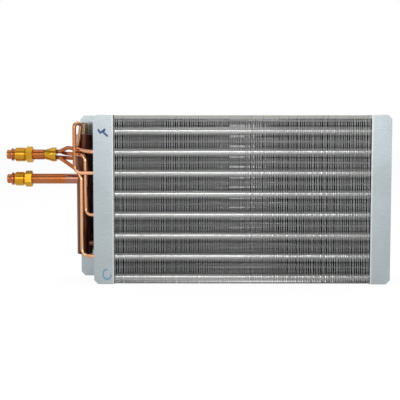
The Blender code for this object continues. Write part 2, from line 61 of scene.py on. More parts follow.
# Places read from the frame
LEFT_LOW, LEFT_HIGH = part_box("left_end_plate")
RIGHT_LOW, RIGHT_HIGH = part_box("right_end_plate")
FIN_LOW, FIN_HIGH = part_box("fin_pack")
HEADER_LOW, HEADER_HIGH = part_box("suction_header")
CAP_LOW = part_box("header_cap_bottom")[0]
CAP_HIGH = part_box("header_cap_top")[1]
TOP_STUB_LOW, TOP_STUB_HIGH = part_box("header_top_stub")
SUCTION_LOW, SUCTION_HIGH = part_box("suction_tube")
LIQUID_LOW, LIQUID_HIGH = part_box("liquid_tube")
DISTRIBUTOR_LOW, DISTRIBUTOR_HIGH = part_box("distributor")
LINE_TIP = SUCTION_LOW.x
FRONT_Y = LEFT_LOW.y
BACK_Y = LEFT_HIGH.y
WEB_X = LEFT_HIGH.x
RIGHT_WEB_X = RIGHT_LOW.x
MID_DEPTH = (FIN_LOW.y + FIN_HIGH.y) / 2
HEADER_AXIS = (HEADER_LOW + HEADER_HIGH) / 2
HEADER_RADIUS = (HEADER_HIGH.x - HEADER_LOW.x) / 2
SUCTION_AXIS = (SUCTION_LOW + SUCTION_HIGH) / 2
LIQUID_AXIS = (LIQUID_LOW + LIQUID_HIGH) / 2

# The tube field, as in the source of the solids
TUBE_PITCH = 0.0254
ROW_SPACING = TUBE_PITCH * math.sin(math.radians(60))
ROW_COUNT = 3
TUBES_PER_ROW = 8
FIRST_ROW_DEPTH = 0.012
LOWEST_TUBE = 0.25
ROW_STAGGER = 0.5

# Tube ends: bells, necks, seats and bends. The shoulder lists distances before the leg, with how much of the
# bell's or neck's size is reached there
BEND_RADIUS = TUBE_PITCH / 2
FIT = 0.0001
SEAT_GAP = 0.0003
SEAT_DEPTH = 0.005
BELL_GAP = 0.001
BELL_LENGTH = 0.006
BELL_WALL = 0.0004
BELL_LIP = 0.0003
BELL_SHOULDER = ((0.0014, 1.0), (0.0009, 0.75), (0.0004, 0.25), (0.0, 0.0))
NECK_WALL = 0.0006
HAIRPIN_REACH = 0.0025
RETURN_REACH = 0.0005

# Order in which the refrigerant runs through the tubes, as (row, number from the top)
CIRCUITS = (
    ((1, 1), (1, 0), (2, 0), (2, 1), (3, 0), (3, 1)),
    ((1, 2), (1, 3), (2, 3), (2, 2), (3, 2), (3, 3)),
    ((1, 4), (1, 5), (2, 5), (2, 4), (3, 4), (3, 5)),
    ((1, 6), (1, 7), (2, 7), (3, 7), (3, 6), (2, 6)),
)

# Fins, their tabs and their sleeves
FIN_GROUPS = ("fins_left", "fins_middle", "fins_right")
HOLE_FACETS = 6
HOLE_FIT = 0.6
RIPPLE_STEPS = 4
TAB_DEPTH = 0.0004
TAB_GAP = 0.00006
SLEEVE_GAP = 0.00004
SLEEVE_FIT = 0.00002
FIN_CREASE = 50

# End plates
LEFT_FRONT_FLANGE = 0.0246
FOLD_FACETS = 8
HOLE_INWARDS = 0.002
HOLE_OUTWARDS = 0.004

# Header, its stubs and caps; the dome lists distances below the top, with what the radius loses there
HEADER_WALL = 0.001
STUB_RUN = 0.0037
STUB_BEND_RADIUS = 0.012
STUB_BEND_STEP = math.radians(4)
STUB_INSERTION = 0.0025
STUB_FOOT = 0.0002
STUB_DOME = ((0.0016, 0.0), (0.0008, 0.0003), (0.0002, 0.0011), (0.0, 0.0024))
CAP_EDGE = 0.0006
CAP_RIM_GAP = 0.00005
CAP_PLUG = 0.003

# Lines and nuts. The tip and the mouth list distances from the end, with what the radius loses there; a nut
# has a thread's length, a hexagon's length and a turn
LINE_RADIUS = 0.00635
LINE_WALL = 0.0008
PILOT_RADIUS = 0.0058
PILOT_LENGTH = 0.0053
PILOT_TIP = ((0.0, 0.0006), (0.0002, 0.0002), (0.0006, 0.0))
BEAD_MARGIN = 0.0003
BEAD_RADIUS = 0.00805
BEAD_WIDTH = 0.0032
BEAD_STEPS = 8
BEAD_FULLNESS = 0.7
THREAD_RADIUS = 0.0087
THREAD_START = 0.0012
THREAD_DEPTH = 0.25
THREAD_CREST = (0.35, 0.65)
NUT_MOUTH = ((0.0, 0.0016), (0.0006, 0.0007))
NUT_FACETS = 72
GROOVE = 0.0012
GROOVE_RAMP = 0.0004
GROOVE_DEPTH = 0.0015
HEX_HALF = 0.0088
HEX_EDGE = 0.0006
HEX_TRIM = 0.0001
NUT_BORE_GAP = 0.0002
SUCTION_NUT = (0.0128, 0.0091, math.radians(-7.7))
LIQUID_NUT = (0.0139, 0.0084, math.radians(7.0))

# Distributor and feed tubes. The cone's start lists distances and radii, its end distances before the face,
# with what the radius loses. A feed tube has a port, as (front, up), and bends round the header, each as
# degrees, gap to the header and height; without a height the bend is level with the tube's inlet
LIQUID_Z = LIQUID_AXIS.z
LOOP_TOP = 0.1945
CONE_START = ((-0.004, 0.0050), (0.0, 0.0050), (0.0, 0.0055), (0.0004, 0.0059))
CONE_END = ((0.0050, 0.0002), (0.0045, 0.0), (0.0005, 0.0), (0.0, 0.0005))
PORT_SPREAD = 0.0036
PORT_DEPTH = 0.006
INLET_RUN = 0.017
FEED_WALL = 0.0007
FEED_INSERTION = 0.004
FEED_STRAIGHT = 0.004
FEED_BEND_STEP = math.radians(8)
FEED_FACETS = 18
FEEDS = (
    ((-1, 1), ((204, 0.0090, LIQUID_Z + 0.0089), (277, 0.0139, LIQUID_Z + 0.0053))),
    ((1, -1), ((221, 0.0010, LIQUID_Z - 0.0048), (240, 0.0012, LIQUID_Z + 0.0101), (266, 0.0046, LOOP_TOP),
               (249, 0.0133, LOOP_TOP), (250, 0.0135, None))),
    ((1, 1), ((180, 0.0121, LIQUID_Z + 0.0017), (210, 0.0089, LIQUID_Z + 0.0013),
              (281, 0.0115, LIQUID_Z + 0.0001), (282, 0.0121, None))),
    ((-1, -1), ((200, 0.0110, LIQUID_Z - 0.0093), (252, 0.0071, LIQUID_Z - 0.0189),
                (268, 0.0086, LIQUID_Z - 0.0290), (270, 0.0141, None))),
)

TUBE_FACETS = 24
BEND_FACETS = 14
TURNED_FACETS = 64

# Where finishes, painted light and painted shade change: reaches in tube pitches, other places in metres
EDGE_SHINE = 0.0001
EDGE_FADE = 0.0012
COLLAR_REACH = 0.24
SECOND_REACH = 0.07
SHADOW_LEVEL = 0.24
SHADOW_REACH = 0.08
TAB_FADE = 0.0002
FOLD_HIGHLIGHT_REACH = 0.0026
# Painted shade on the rear flange behind the header, where shade falls between the header and the front
# flange
PAINTED_SHADE_LEFT = WEB_X - 0.0405
PAINTED_SHADE_TOP = 0.1975
PAINTED_SHADE_FADE = 0.0040
PAINTED_SHADE_DEPTH = 0.004
PAINTED_SHADE_EDGE = 0.0004
FLANGE_FACE = 0.002
MARK_EDGE = 0.001
INK_WIDTH = 0.0015
INK_TICK = ((WEB_X - 0.0180, 0.1867), (WEB_X - 0.0158, 0.1830), (WEB_X - 0.0105, 0.1872),
            (WEB_X - 0.0120, 0.1835), (WEB_X - 0.0075, 0.1795))
INK_RING = (WEB_X - 0.0090, 0.0122)
INK_RING_WIDE = 0.0049
INK_RING_HIGH = 0.0060
INK_RING_LINE = 0.24
INK_RING_OPEN = 1.2
TINT_MIDDLE = HEADER_LOW.x - 0.006
TINT_REACH = 0.009
HEATED_RUN = 0.0018
HEATED_FADE = 0.0030
BRAZED_FADE = 0.0030
HEADER_HIGHLIGHT_SIDE = 0.005

# Camera, floor, surroundings and lamps; a lamp has a place, an aim, a size and a power
CAMERA_DISTANCE = 1.1164
CAMERA_RIGHT = 0.1092
CAMERA_HEIGHT = 0.1917
CAMERA_PITCH = math.radians(4.567)
CAMERA_YAW = math.radians(0.285)
CAMERA_REACH = 50.0
FOCAL_PIXELS = 930.7
PHOTO_PIXELS = 400
SENSOR = 36.0
FLOOR_HALF = 6.0
FLOOR_DROP = 0.0002
FLOOR_WHITE = 1.16
FLOOR_GLOW = 0.8
FLOOR_REFLECTED = 0.42
WALL_EDGE = 0.70
WALL_MIDDLE = 0.93
CORNER_GLOW = 0.16
ROOM_COLOUR = (0.93, 0.96, 1.0)
ROOM_LIGHT = 0.41
LAMPS = (
    ("front_softbox", (0.10, -2.20, 0.74), (0.05, 0.0, 0.50), (1.2, 0.4), 7.6),
    ("left_softbox", (-1.7, -1.7, 0.70), (0.0, 0.0, 0.10), (0.8, 1.1), 6.0),
    ("right_softbox", (1.8, -1.7, 0.70), (0.1, 0.0, 0.10), (0.8, 1.1), 6.0),
    ("top_softbox", (0.0, 0.1, 1.5), (0.0, 0.0, 0.1), (2.8, 2.0), 13.5),
)

FINISHES = {}


def length(name, description, default):
    return FloatProperty(name=name, description=description, default=default, unit='LENGTH')


def turn(name, description, default):
    return FloatProperty(name=name, description=description, default=default, subtype='ANGLE')


def paint(name, description, default):
    return FloatVectorProperty(name=name, description=description, default=default, subtype='COLOR', min=0.0,
                               max=1.0)


class CoilSizes(bpy.types.PropertyGroup):
    """Sizes that a user would change."""
    fin_count: IntProperty(name="Fins", description="Number of fins", default=144, min=3)
    fin_thickness: length("Fin thickness", "Thickness of a fin's sheet", 0.00038)
    fin_lean: turn("Fin lean", "How far the middle fins are turned from the tubes' right angle", -0.034)
    fin_waver: turn("Fin waver", "How much the fins' turn differs from one to the next", 0.013)
    fin_shift: length("Fin shift", "How much the fins' places differ from an even pitch", 0.00015)
    fin_clearance: length("Fin clearance", "Gap between the end plates and the outer fins", 0.0008)
    fold_swing: length("Fin fold", "How far the fins' folds stand to each side", 0.00045)
    # The tabs fill the gaps between the fins; the top ones carry painted light from above and the bottom
    # ones painted shade
    tab_top: length("Top tab", "Height of the fins' spacing tabs at the top", 0.0040)
    tab_bottom: length("Bottom tab", "Height of the fins' spacing tabs at the bottom", 0.0014)
    ripple: length("Edge ripple", "How far the fins' edges swing to each side", 0.00035)
    ripple_pitch: length("Ripple pitch", "Length of one wave of the fins' edges", 0.0038)
    ripple_depth: length("Ripple depth", "Width of the fins' rippled edge strips", 0.003)
    tube_radius: length("Tube radius", "Outer radius of the finned tubes", 0.004765)
    tube_wall: length("Tube wall", "Wall of the finned tubes", 0.0005)
    collar_wall: length("Collar wall", "Thickness of the fins' collars on the tubes", 0.00018)
    sheet: length("Plate sheet", "Thickness of the end plates' sheet", 0.0012)
    fold: length("Fold radius", "Inner radius of the end plates' folds", 0.0012)
    corner: length("Corner cut", "Size of the flanges' cut corners", 0.005)
    feed_radius: length("Feed tube radius", "Outer radius of the feed tubes", 0.00238)
    feed_bend: length("Feed tube bend", "Bend radius of the feed tubes", 0.009)
    thread_pitch: length("Thread pitch", "Pitch of the swivel nuts' thread", 0.0014)


class CoilColours(bpy.types.PropertyGroup):
    """Colours that a user would change."""
    zinc: paint("Zinc", "Galvanised sheet", (0.53, 0.585, 0.61))
    # Painted shade: a dark sheet colour laid where shade falls behind the header
    painted_plate_shade: paint("Soot", "Sheet darkened by the brazing flame", (0.05, 0.035, 0.03))
    ink: paint("Ink", "Marker ink", (0.012, 0.03, 0.18))
    faded_ink: paint("Faded ink", "Ink rubbed by handling", (0.09, 0.31, 0.50))
    fin: paint("Fin edge", "Bright aluminium of the fins' cut edges", (0.84, 0.84, 0.83))
    # Painted shade: near-black colour for the fins' flanks deep between the fins
    fin_deep_shade: paint("Fin inside", "Coated aluminium deep between the fins", (0.008, 0.008, 0.010))
    # Also the painted highlight colour on the fins' flanks and the sheets' folds
    collar_and_highlight: paint("Collar", "Aluminium of the drawn collars", (0.92, 0.92, 0.90))
    copper: paint("Copper", "Clean copper", (0.53, 0.150, 0.028))
    rose: paint("Rose copper", "Copper warmed by the flame", (0.56, 0.21, 0.10))
    # Painted highlight: paler copper standing in for the feed tubes' washed-out reflections
    pale: paint("Pale copper", "Scoured copper of the feed tubes", (0.85, 0.45, 0.25))
    # Also the painted highlight colour on the header's left side
    tint_and_highlight: paint("Tinted copper", "Copper beside a brazed joint", (0.40, 0.23, 0.18))
    burnt: paint("Burnt copper", "Copper darkened by brazing", (0.045, 0.010, 0.009))
    brass: paint("Brass", "Turned brass", (0.82, 0.43, 0.035))
    braze: paint("Brazing metal", "Brazing alloy", (0.40, 0.28, 0.17))


def sizes():
    return bpy.context.scene.coil_sizes


# Node building

def math_node(operation, swapped=False):
    """A method that makes a Math node of a value and any second operand."""
    def method(self, *other):
        operands = (*other, self) if swapped else (self, *other)
        return self.maker.node('ShaderNodeMath', {'operation': operation}, *operands)
    return method


class Value:
    """A node's output that can be used in sums."""
    __add__ = math_node('ADD')
    __sub__ = math_node('SUBTRACT')
    __mul__ = math_node('MULTIPLY')
    __truediv__ = math_node('DIVIDE')
    __pow__ = math_node('POWER')
    __radd__ = math_node('ADD', swapped=True)
    __rsub__ = math_node('SUBTRACT', swapped=True)
    __rmul__ = math_node('MULTIPLY', swapped=True)
    least = math_node('MINIMUM')
    most = math_node('MAXIMUM')
    size = math_node('ABSOLUTE')
    fraction = math_node('FRACT')
    sine = math_node('SINE')

    def __init__(self, maker, socket):
        self.maker = maker
        self.socket = socket

    def clamp(self):
        return self.maker.node('ShaderNodeClamp', {}, self, 0.0, 1.0)

    def output(self, name):
        """Another output of the same node."""
        return Value(self.maker, self.socket.node.outputs[name])

    def parts(self):
        """X, Y and Z of a vector."""
        first = self.maker.node('ShaderNodeSeparateXYZ', {}, self)
        return first, first.output('Y'), first.output('Z')


class NodeMaker:
    """Adds nodes to a tree."""

    def __init__(self, tree):
        self.tree = tree

    def node(self, kind, settings, *operands, output=0, **named):
        """A node with its settings made first, then its inputs set or linked, in order or by name."""
        made = self.tree.nodes.new(kind)
        for key, value in settings.items():
            if key == 'stops':
                self.set_stops(made.color_ramp, value)
            else:
                setattr(made, key, value)
        sockets = [socket for socket in made.inputs if socket.enabled]
        for socket, operand in zip(sockets, operands):
            self.feed(socket, operand)
        for name, operand in named.items():
            self.feed(made.inputs[name.replace('_', ' ')], operand)
        outputs = [socket for socket in made.outputs if socket.enabled]
        if not outputs:
            return None
        return Value(self, outputs[0] if output == 0 else made.outputs[output])

    def feed(self, socket, operand):
        if operand is None:
            return
        if isinstance(operand, Value):
            self.tree.links.new(operand.socket, socket)
        elif socket.type == 'RGBA' and len(operand) == 3:
            socket.default_value = (*operand, 1.0)
        else:
            socket.default_value = operand

    @staticmethod
    def set_stops(ramp, stops):
        while len(ramp.elements) < len(stops):
            ramp.elements.new(1.0)
        for element, (position, level) in zip(ramp.elements, stops):
            element.position = position
            element.color = (level, level, level, 1.0)

    def ray_kinds(self):
        """Whether a ray comes from the camera, and whether it was reflected or let through."""
        seen = self.node('ShaderNodeLightPath', {}, output='Is Camera Ray')
        return seen, seen.output('Is Glossy Ray').most(seen.output('Is Transmission Ray'))


class Finish(NodeMaker):
    """One material's node tree, with its Principled shader."""

    def __init__(self, name):
        self.name = name
        self.material = bpy.data.materials.new(name)
        self.material.use_nodes = True
        super().__init__(self.material.node_tree)
        self.shader = self.tree.nodes['Principled BSDF']
        self.place = self.node('ShaderNodeTexCoord', {}, output='Object')

    def stretched(self, scale):
        """The place on the piece, stretched along each axis."""
        return self.node('ShaderNodeMapping', {}, self.place, (0, 0, 0), (0, 0, 0), scale)

    def noise(self, scale, detail=3.0, roughness=0.5, place=None):
        return self.node('ShaderNodeTexNoise', {}, place or self.place, scale, detail, roughness)

    def patches(self, low, high, *noise, **place):
        """Noise as patches: 0 below low, 1 above high."""
        stops = ((low, 0.0), (high, 1.0))
        return self.node('ShaderNodeValToRGB', {'stops': stops}, self.noise(*noise, **place))

    def mix(self, amount, first, second):
        return self.node('ShaderNodeMix', {'data_type': 'RGBA'}, amount, first, second)

    def set(self, name, value):
        self.feed(self.shader.inputs[name], value)

    def done(self, colour, metallic, roughness, height=None, strength=0.0, distance=0.0):
        """Set the shader and file the material."""
        self.set('Base Color', colour)
        self.set('Metallic', metallic)
        self.set('Roughness', roughness)
        if height:
            self.set('Normal', self.node('ShaderNodeBump', {}, strength, distance, None, height))
        FINISHES[self.name] = self.material


def shaded(colour, shade):
    return tuple(min(1.0, v * shade) for v in colour)


def zinc_sheet(colours, marked):
    """Galvanised sheet with a painted highlight along its folds and painted shade towards the bottom; the
    marked one has painted shade behind the header and pen strokes.
    """
    f = Finish("marked_zinc_sheet" if marked else "zinc_sheet")
    broad = f.patches(0.35, 0.65, 22.0, 2.0)
    grain = f.noise(900.0, 2.0, place=f.stretched((0.06, 1.0, 1.0)))
    x, y, z = f.place.parts()
    colour = f.mix(broad, shaded(colours.zinc, 0.95), shaded(colours.zinc, 1.05))
    # Painted shade: the sheet darkens slightly towards the bottom
    height = (z / LEFT_HIGH.z).clamp()
    colour = f.mix(0.06 * (1 - height), colour, shaded(colours.zinc, 0.3))
    # Painted highlight: the sheet is lightened to the collar colour along the folds next to the fins
    from_web = (x - WEB_X).size().least((x - RIGHT_WEB_X).size())
    fold = (1.6 * (1 - from_web / FOLD_HIGHLIGHT_REACH)).clamp() * (1 - (y - FRONT_Y) / FOLD_HIGHLIGHT_REACH).clamp()
    colour = f.mix(fold, colour, colours.collar_and_highlight)
    if marked:
        # Painted shade: the rear flange behind the header is darkened where shade falls there
        across = ((x - PAINTED_SHADE_LEFT) / PAINTED_SHADE_FADE).clamp() * ((PAINTED_SHADE_TOP - z) / PAINTED_SHADE_FADE).clamp()
        across = across * ((z - HEADER_LOW.z) / PAINTED_SHADE_FADE).clamp()
        behind = ((y - BACK_Y + PAINTED_SHADE_DEPTH) / PAINTED_SHADE_EDGE).clamp()
        behind = behind * ((BACK_Y - PAINTED_SHADE_EDGE - y) / PAINTED_SHADE_EDGE).clamp() * (0.55 + 0.45 * broad)
        colour = f.mix(0.8 * across * behind, colour, colours.painted_plate_shade)
        front = ((FRONT_Y + FLANGE_FACE - y) / MARK_EDGE).clamp()
        colour = f.mix(0.9 * tick_mark(x, z) * front, colour, colours.ink)
        colour = f.mix(0.7 * ring_mark(x, z) * front, colour, colours.faded_ink)
    f.done(colour, 0.92, 0.24 + 0.08 * grain, grain, 0.05, 0.0002)


def stroke(x, z, start, end):
    """How much a place lies on a straight pen stroke, from 0 to 1; start and end are (X, Z)."""
    run = Vector(end) - Vector(start)
    share = (((x - start[0]) * run.x + (z - start[1]) * run.y) / run.length_squared).clamp()
    beside = x - start[0] - run.x * share
    above = z - start[1] - run.y * share
    return (2.0 * (1 - (beside * beside + above * above) ** 0.5 / INK_WIDTH)).clamp()


def tick_mark(x, z):
    whole = stroke(x, z, *INK_TICK[:2])
    for start, end in zip(INK_TICK[1:], INK_TICK[2:]):
        whole = whole.most(stroke(x, z, start, end))
    return whole


def ring_mark(x, z):
    """A hand-drawn ring that is left open at one side."""
    across = (x - INK_RING[0]) / INK_RING_WIDE
    above = (z - INK_RING[1]) / INK_RING_HIGH
    from_middle = (across * across + above * above) ** 0.5
    line = (2.0 * (1 - (from_middle - 1).size() / INK_RING_LINE)).clamp()
    return line * (4.0 * (INK_RING_OPEN - across - above)).clamp()


def from_level(level):
    """Distance in tube pitches from the nearest tube's level."""
    return ((level + 0.5).fraction() - 0.5).size()


def fin_aluminium(colours):
    """Bright cut edges, painted shade on the dark flanks, painted shadow beside each band and towards the
    bottom, and a painted highlight where the collars throw light back at each tube's level.
    """
    f = Finish("fin_aluminium")
    y, z = f.place.parts()[1:]
    depth = (y - FIN_LOW.y).least(FIN_HIGH.y - y)
    # Painted shade: the flanks darken to near black a little way in from the edges
    inside = ((depth - EDGE_SHINE) / EDGE_FADE).clamp()
    level = (z - FIN_LOW.z) / TUBE_PITCH - LOWEST_TUBE
    # Painted highlight: flanks and edges lightened to the collar colour round each tube's level, narrower at
    # the second row's level, standing in for the collars' reflection
    tube_level_highlight = (1.25 * (1 - from_level(level) / COLLAR_REACH)).clamp()
    second = (1.25 * (1 - from_level(level + ROW_STAGGER) / SECOND_REACH)).clamp()
    # Painted shadow on the edges beside each band, and painted shade darkening the edges towards the bottom
    shadow = (1 - (from_level(level) - SHADOW_LEVEL).size() / SHADOW_REACH).clamp()
    lowness = ((FIN_HIGH.z - z) / (FIN_HIGH.z - FIN_LOW.z)).clamp()
    edge = f.mix((1 - 0.5 * shadow) * (1 - 0.25 * lowness), (0.0, 0.0, 0.0), colours.fin)
    flank = f.mix(tube_level_highlight.most(second), colours.fin_deep_shade, colours.collar_and_highlight)
    colour = f.mix(inside, f.mix(0.8 * tube_level_highlight, edge, colours.collar_and_highlight), flank)
    # Painted light on the top tabs, lighter for light from above between the fins; painted shade on the
    # bottom tabs, a dark sheet where the fins stand in shade
    top_tab = ((z - FIN_HIGH.z + sizes().tab_top) / TAB_FADE).clamp()
    bottom_tab = ((FIN_LOW.z + sizes().tab_bottom - z) / TAB_FADE).clamp()
    top_light_grey = tuple(v * shade for v, shade in zip(colours.fin, (0.62, 0.62, 0.58)))
    colour = f.mix(bottom_tab, f.mix(top_tab, colour, top_light_grey), shaded(colours.fin, 0.14))
    f.set('Specular IOR Level', 0.0)
    f.done(colour, f.mix(inside, 0.25 * (1 - tube_level_highlight), 0.5 * tube_level_highlight.most(second)),
           0.42 - 0.24 * tube_level_highlight.most(second) * inside)


def collar_aluminium(colours):
    f = Finish("collar_aluminium")
    x = f.place.parts()[0]
    rings = (x * (2 * math.pi * sizes().fin_count / (FIN_HIGH.x - FIN_LOW.x))).sine()
    colour = f.mix(f.patches(0.3, 0.7, 140.0), shaded(colours.collar_and_highlight, 0.88), shaded(colours.collar_and_highlight, 0.98))
    f.done(colour, 0.95, 0.26, rings, 0.1, 0.00015)


def drawn_copper(name, colours, stain_and_highlight):
    """Drawn tube; stain_and_highlight takes the finish, X and a colour, and returns the colour that heat
    made of it, together with any painted highlight.
    """
    f = Finish(name)
    tarnish = f.patches(0.42, 0.72, 55.0, 4.0)
    drawn = f.noise(420.0, 2.0, place=f.stretched((0.08, 1.0, 1.0)))
    x = f.place.parts()[0]
    colour = stain_and_highlight(f, x, f.mix(0.55 * tarnish, colours.copper, colours.rose), colours)
    f.set('Coat Weight', 0.5)
    f.set('Coat Roughness', 0.08)
    f.done(colour, 1.0, 0.13 + 0.08 * drawn + 0.08 * tarnish, drawn, 0.04, 0.0002)


def stain_near_header(f, x, colour, colours):
    """Tinted beside the header and burnt between the header and the left plate."""
    near = (1 - (x - TINT_MIDDLE).size() / TINT_REACH).clamp() ** 0.5
    brazed = ((x - HEADER_AXIS.x) / BRAZED_FADE).clamp() * ((WEB_X - x) / BRAZED_FADE).clamp()
    return f.mix(0.85 * brazed, f.mix(0.75 * near, colour, colours.tint_and_highlight), colours.burnt)


def stain_and_highlight_near_distributor(f, x, colour, colours):
    """Painted highlight in pale copper from the header on, and burnt where the feed tubes leave the
    distributor.
    """
    # Painted highlight: the feed tubes turn pale copper from the header on
    colour = f.mix(((x - HEADER_LOW.x) / HEATED_FADE).clamp(), colour, colours.pale)
    heated = (1 - (x - DISTRIBUTOR_HIGH.x - HEATED_RUN) / HEATED_FADE).clamp()
    return f.mix(0.85 * heated, colour, colours.burnt)


def burnt_copper(colours):
    f = Finish("burnt_copper")
    patches = f.patches(0.40, 0.66, 38.0, 5.0, place=f.stretched((1.0, 1.0, 0.35)))
    x = f.place.parts()[0]
    # Painted highlight: the header's left side is lightened to the tinted colour, standing in for its
    # reflection
    side = (1 - (x - HEADER_LOW.x) / HEADER_HIGHLIGHT_SIDE).clamp()
    colour = f.mix(0.35 * patches, colours.burnt, shaded(colours.rose, 0.6))
    f.done(f.mix(0.7 * side, colour, colours.tint_and_highlight), 0.9, 0.26 + 0.16 * patches)


def turned_brass(colours):
    f = Finish("turned_brass")
    tool = f.noise(1500.0, 1.0, place=f.stretched((1.0, 0.02, 0.02)))
    colour = f.mix(f.patches(0.35, 0.7, 120.0), shaded(colours.brass, 0.86), colours.brass)
    f.done(colour, 1.0, 0.16 + 0.08 * tool, tool, 0.03, 0.0001)


def braze_metal(colours):
    f = Finish("braze_metal")
    colour = f.mix(f.patches(0.35, 0.7, 260.0, 4.0), shaded(colours.braze, 0.55), colours.braze)
    f.done(colour, 0.85, 0.38, f.noise(700.0), 0.3, 0.0003)


class COIL_OT_finishes(bpy.types.Operator):
    """Make the coil's materials"""
    bl_idname = "coil.finishes"
    bl_label = "Finishes"

    def execute(self, context):
        colours = context.scene.coil_colours
        zinc_sheet(colours, marked=False)
        zinc_sheet(colours, marked=True)
        fin_aluminium(colours)
        collar_aluminium(colours)
        drawn_copper("copper_tube", colours, stain_near_header)
        drawn_copper("feed_copper", colours, stain_and_highlight_near_distributor)
        burnt_copper(colours)
        turned_brass(colours)
        braze_metal(colours)
        return {'FINISHED'}


# Mesh building

def linked(name, mesh):
    """A new object in the scene."""
    made = bpy.data.objects.new(name, mesh)
    bpy.context.scene.collection.objects.link(made)
    return made


def mesh_of(name, bm):
    """A mesh of a closed bmesh, its faces turned outwards."""
    bmesh.ops.recalc_face_normals(bm, faces=bm.faces[:])
    mesh = bpy.data.meshes.new(name)
    bm.to_mesh(mesh)
    bm.free()
    return mesh


def evaluated_mesh(obj):
    """The object's mesh with its modifiers applied."""
    bpy.context.view_layer.update()
    evaluated = obj.evaluated_get(bpy.context.evaluated_depsgraph_get())
    return bpy.data.meshes.new_from_object(evaluated)


def finish_piece(name, bm, *looks, **more):
    """Turn a closed bmesh into a finished piece."""
    finish_mesh(name, mesh_of(name, bm), *looks, **more)


def finish_mesh(name, mesh, finish, slot, replaces=(), body=ROOT, crease=40):
    """Make a mesh a finished piece that rides on a body and stands for the nodes it replaces."""
    mesh.shade_smooth()
    mesh.set_sharp_from_angle(angle=math.radians(crease))
    mesh.materials.clear()
    mesh.materials.append(FINISHES[finish])
    piece = linked(name, mesh)
    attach(piece, body)
    if replaces:
        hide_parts(*replaces)


def ring_points(centre, direction, normal, radius, sides):
    side = direction.cross(normal)
    points = []
    for index in range(sides):
        angle = 2 * math.pi * index / sides
        points.append(centre + (normal * math.cos(angle) + side * math.sin(angle)) * radius)
    return points


def join_rings(bm, first, second):
    count = len(first)
    for index in range(count):
        after = (index + 1) % count
        bm.faces.new((first[index], first[after], second[after], second[index]))


def loft(bm, rings, closed):
    """Skin a list of rings; closed joins the last to the first, otherwise both ends are capped."""
    loops = [[bm.verts.new(point) for point in ring] for ring in rings]
    for first, second in zip(loops, loops[1:]):
        join_rings(bm, first, second)
    if closed:
        join_rings(bm, loops[-1], loops[0])
    else:
        bm.faces.new(loops[0])
        bm.faces.new(loops[-1])


def sweep(bm, stations, sides=TUBE_FACETS):
    """A tube along stations of (centre, direction, outer radius, inner radius)."""
    normal = UP
    previous = stations[0][1]
    outer = []
    inner = []
    for centre, direction, outer_radius, inner_radius in stations:
        normal = previous.rotation_difference(direction) @ normal
        previous = direction
        outer.append(ring_points(centre, direction, normal, outer_radius, sides))
        inner.append(ring_points(centre, direction, normal, inner_radius, sides))
    loft(bm, outer + inner[::-1], closed=True)


def arc_stations(start, into, towards, angle, radius, steps, outer_radius, inner_radius):
    """Stations round a bend of a given angle, from start along into, curving towards a direction."""
    centre = start + towards * radius
    stations = []
    for step in range(steps + 1):
        turned_by = angle * step / steps
        point = centre - towards * radius * math.cos(turned_by) + into * radius * math.sin(turned_by)
        direction = into * math.cos(turned_by) + towards * math.sin(turned_by)
        stations.append((point, direction, outer_radius, inner_radius))
    return stations


def rounded_route(corners, radius, step_angle, outer_radius, inner_radius):
    """Stations along straight runs whose corners are rounded; a bend takes at most half of each run."""
    first = (corners[1] - corners[0]).normalized()
    last = (corners[-1] - corners[-2]).normalized()
    stations = [(corners[0], first, outer_radius, inner_radius)]
    for index in range(1, len(corners) - 1):
        before, corner, after = corners[index - 1:index + 2]
        into = (corner - before).normalized()
        out = (after - corner).normalized()
        angle = into.angle(out)
        towards = (out - into * math.cos(angle)).normalized()
        room_before = (corner - before).length * (1.0 if index == 1 else 0.5)
        room_after = (after - corner).length * (1.0 if index == len(corners) - 2 else 0.5)
        reach = min(radius * math.tan(angle / 2), 0.98 * min(room_before, room_after))
        steps = max(2, math.ceil(angle / step_angle))
        stations += arc_stations(corner - into * reach, into, towards, angle, reach / math.tan(angle / 2),
                                 steps, outer_radius, inner_radius)
    stations.append((corners[-1], last, outer_radius, inner_radius))
    return stations


def turned(bm, profile, place, axis=ALONG_X, sides=TURNED_FACETS, closed=True, turned_by=0.0, hexed=()):
    """A turned solid from (distance along the axis, radius); rings listed in hexed are hexagons whose radius
    is half their width across flats."""
    start = Matrix.Rotation(turned_by, 3, axis) @ (UP if axis is ALONG_X else ALONG_X)
    side = axis.cross(start)
    rings = []
    for number, (distance, radius) in enumerate(profile):
        points = []
        for index in range(sides):
            angle = 2 * math.pi * index / sides
            reach = radius
            if number in hexed:
                reach = radius / math.cos((angle % (math.pi / 3)) - math.pi / 6)
            outwards = start * math.cos(angle) + side * math.sin(angle)
            points.append(place + axis * distance + outwards * reach)
        rings.append(points)
    loft(bm, rings, closed)


def cut_mesh(name, bm, rods):
    """The mesh of a closed bmesh with round rods cut out of it; a rod has two end centres and a radius."""
    holes = bmesh.new()
    for start, end, radius in rods:
        direction = (end - start).normalized()
        rings = [ring_points(point, direction, UP, radius, TUBE_FACETS) for point in (start, end)]
        loft(holes, rings, closed=False)
    body = linked(name + "_solid", mesh_of(name, bm))
    cutter = linked(name + "_cutter", mesh_of(name + "_holes", holes))
    modifier = body.modifiers.new("cut", 'BOOLEAN')
    modifier.operation = 'DIFFERENCE'
    modifier.solver = 'EXACT'
    modifier.object = cutter
    mesh = evaluated_mesh(body)
    for obj in (body, cutter):
        bpy.data.objects.remove(obj, do_unlink=True)
    return mesh


def tube_axis(tube, x):
    row, number = tube
    raised = ROW_STAGGER if row % 2 == 0 else 0.0
    y = FRONT_Y + FIRST_ROW_DEPTH + (row - 1) * ROW_SPACING
    z = FIN_LOW.z + (TUBES_PER_ROW - 1 + LOWEST_TUBE + raised - number) * TUBE_PITCH
    return Vector((x, y, z))


def all_tubes():
    return [(row, number) for row in range(1, ROW_COUNT + 1) for number in range(TUBES_PER_ROW)]


# End plates

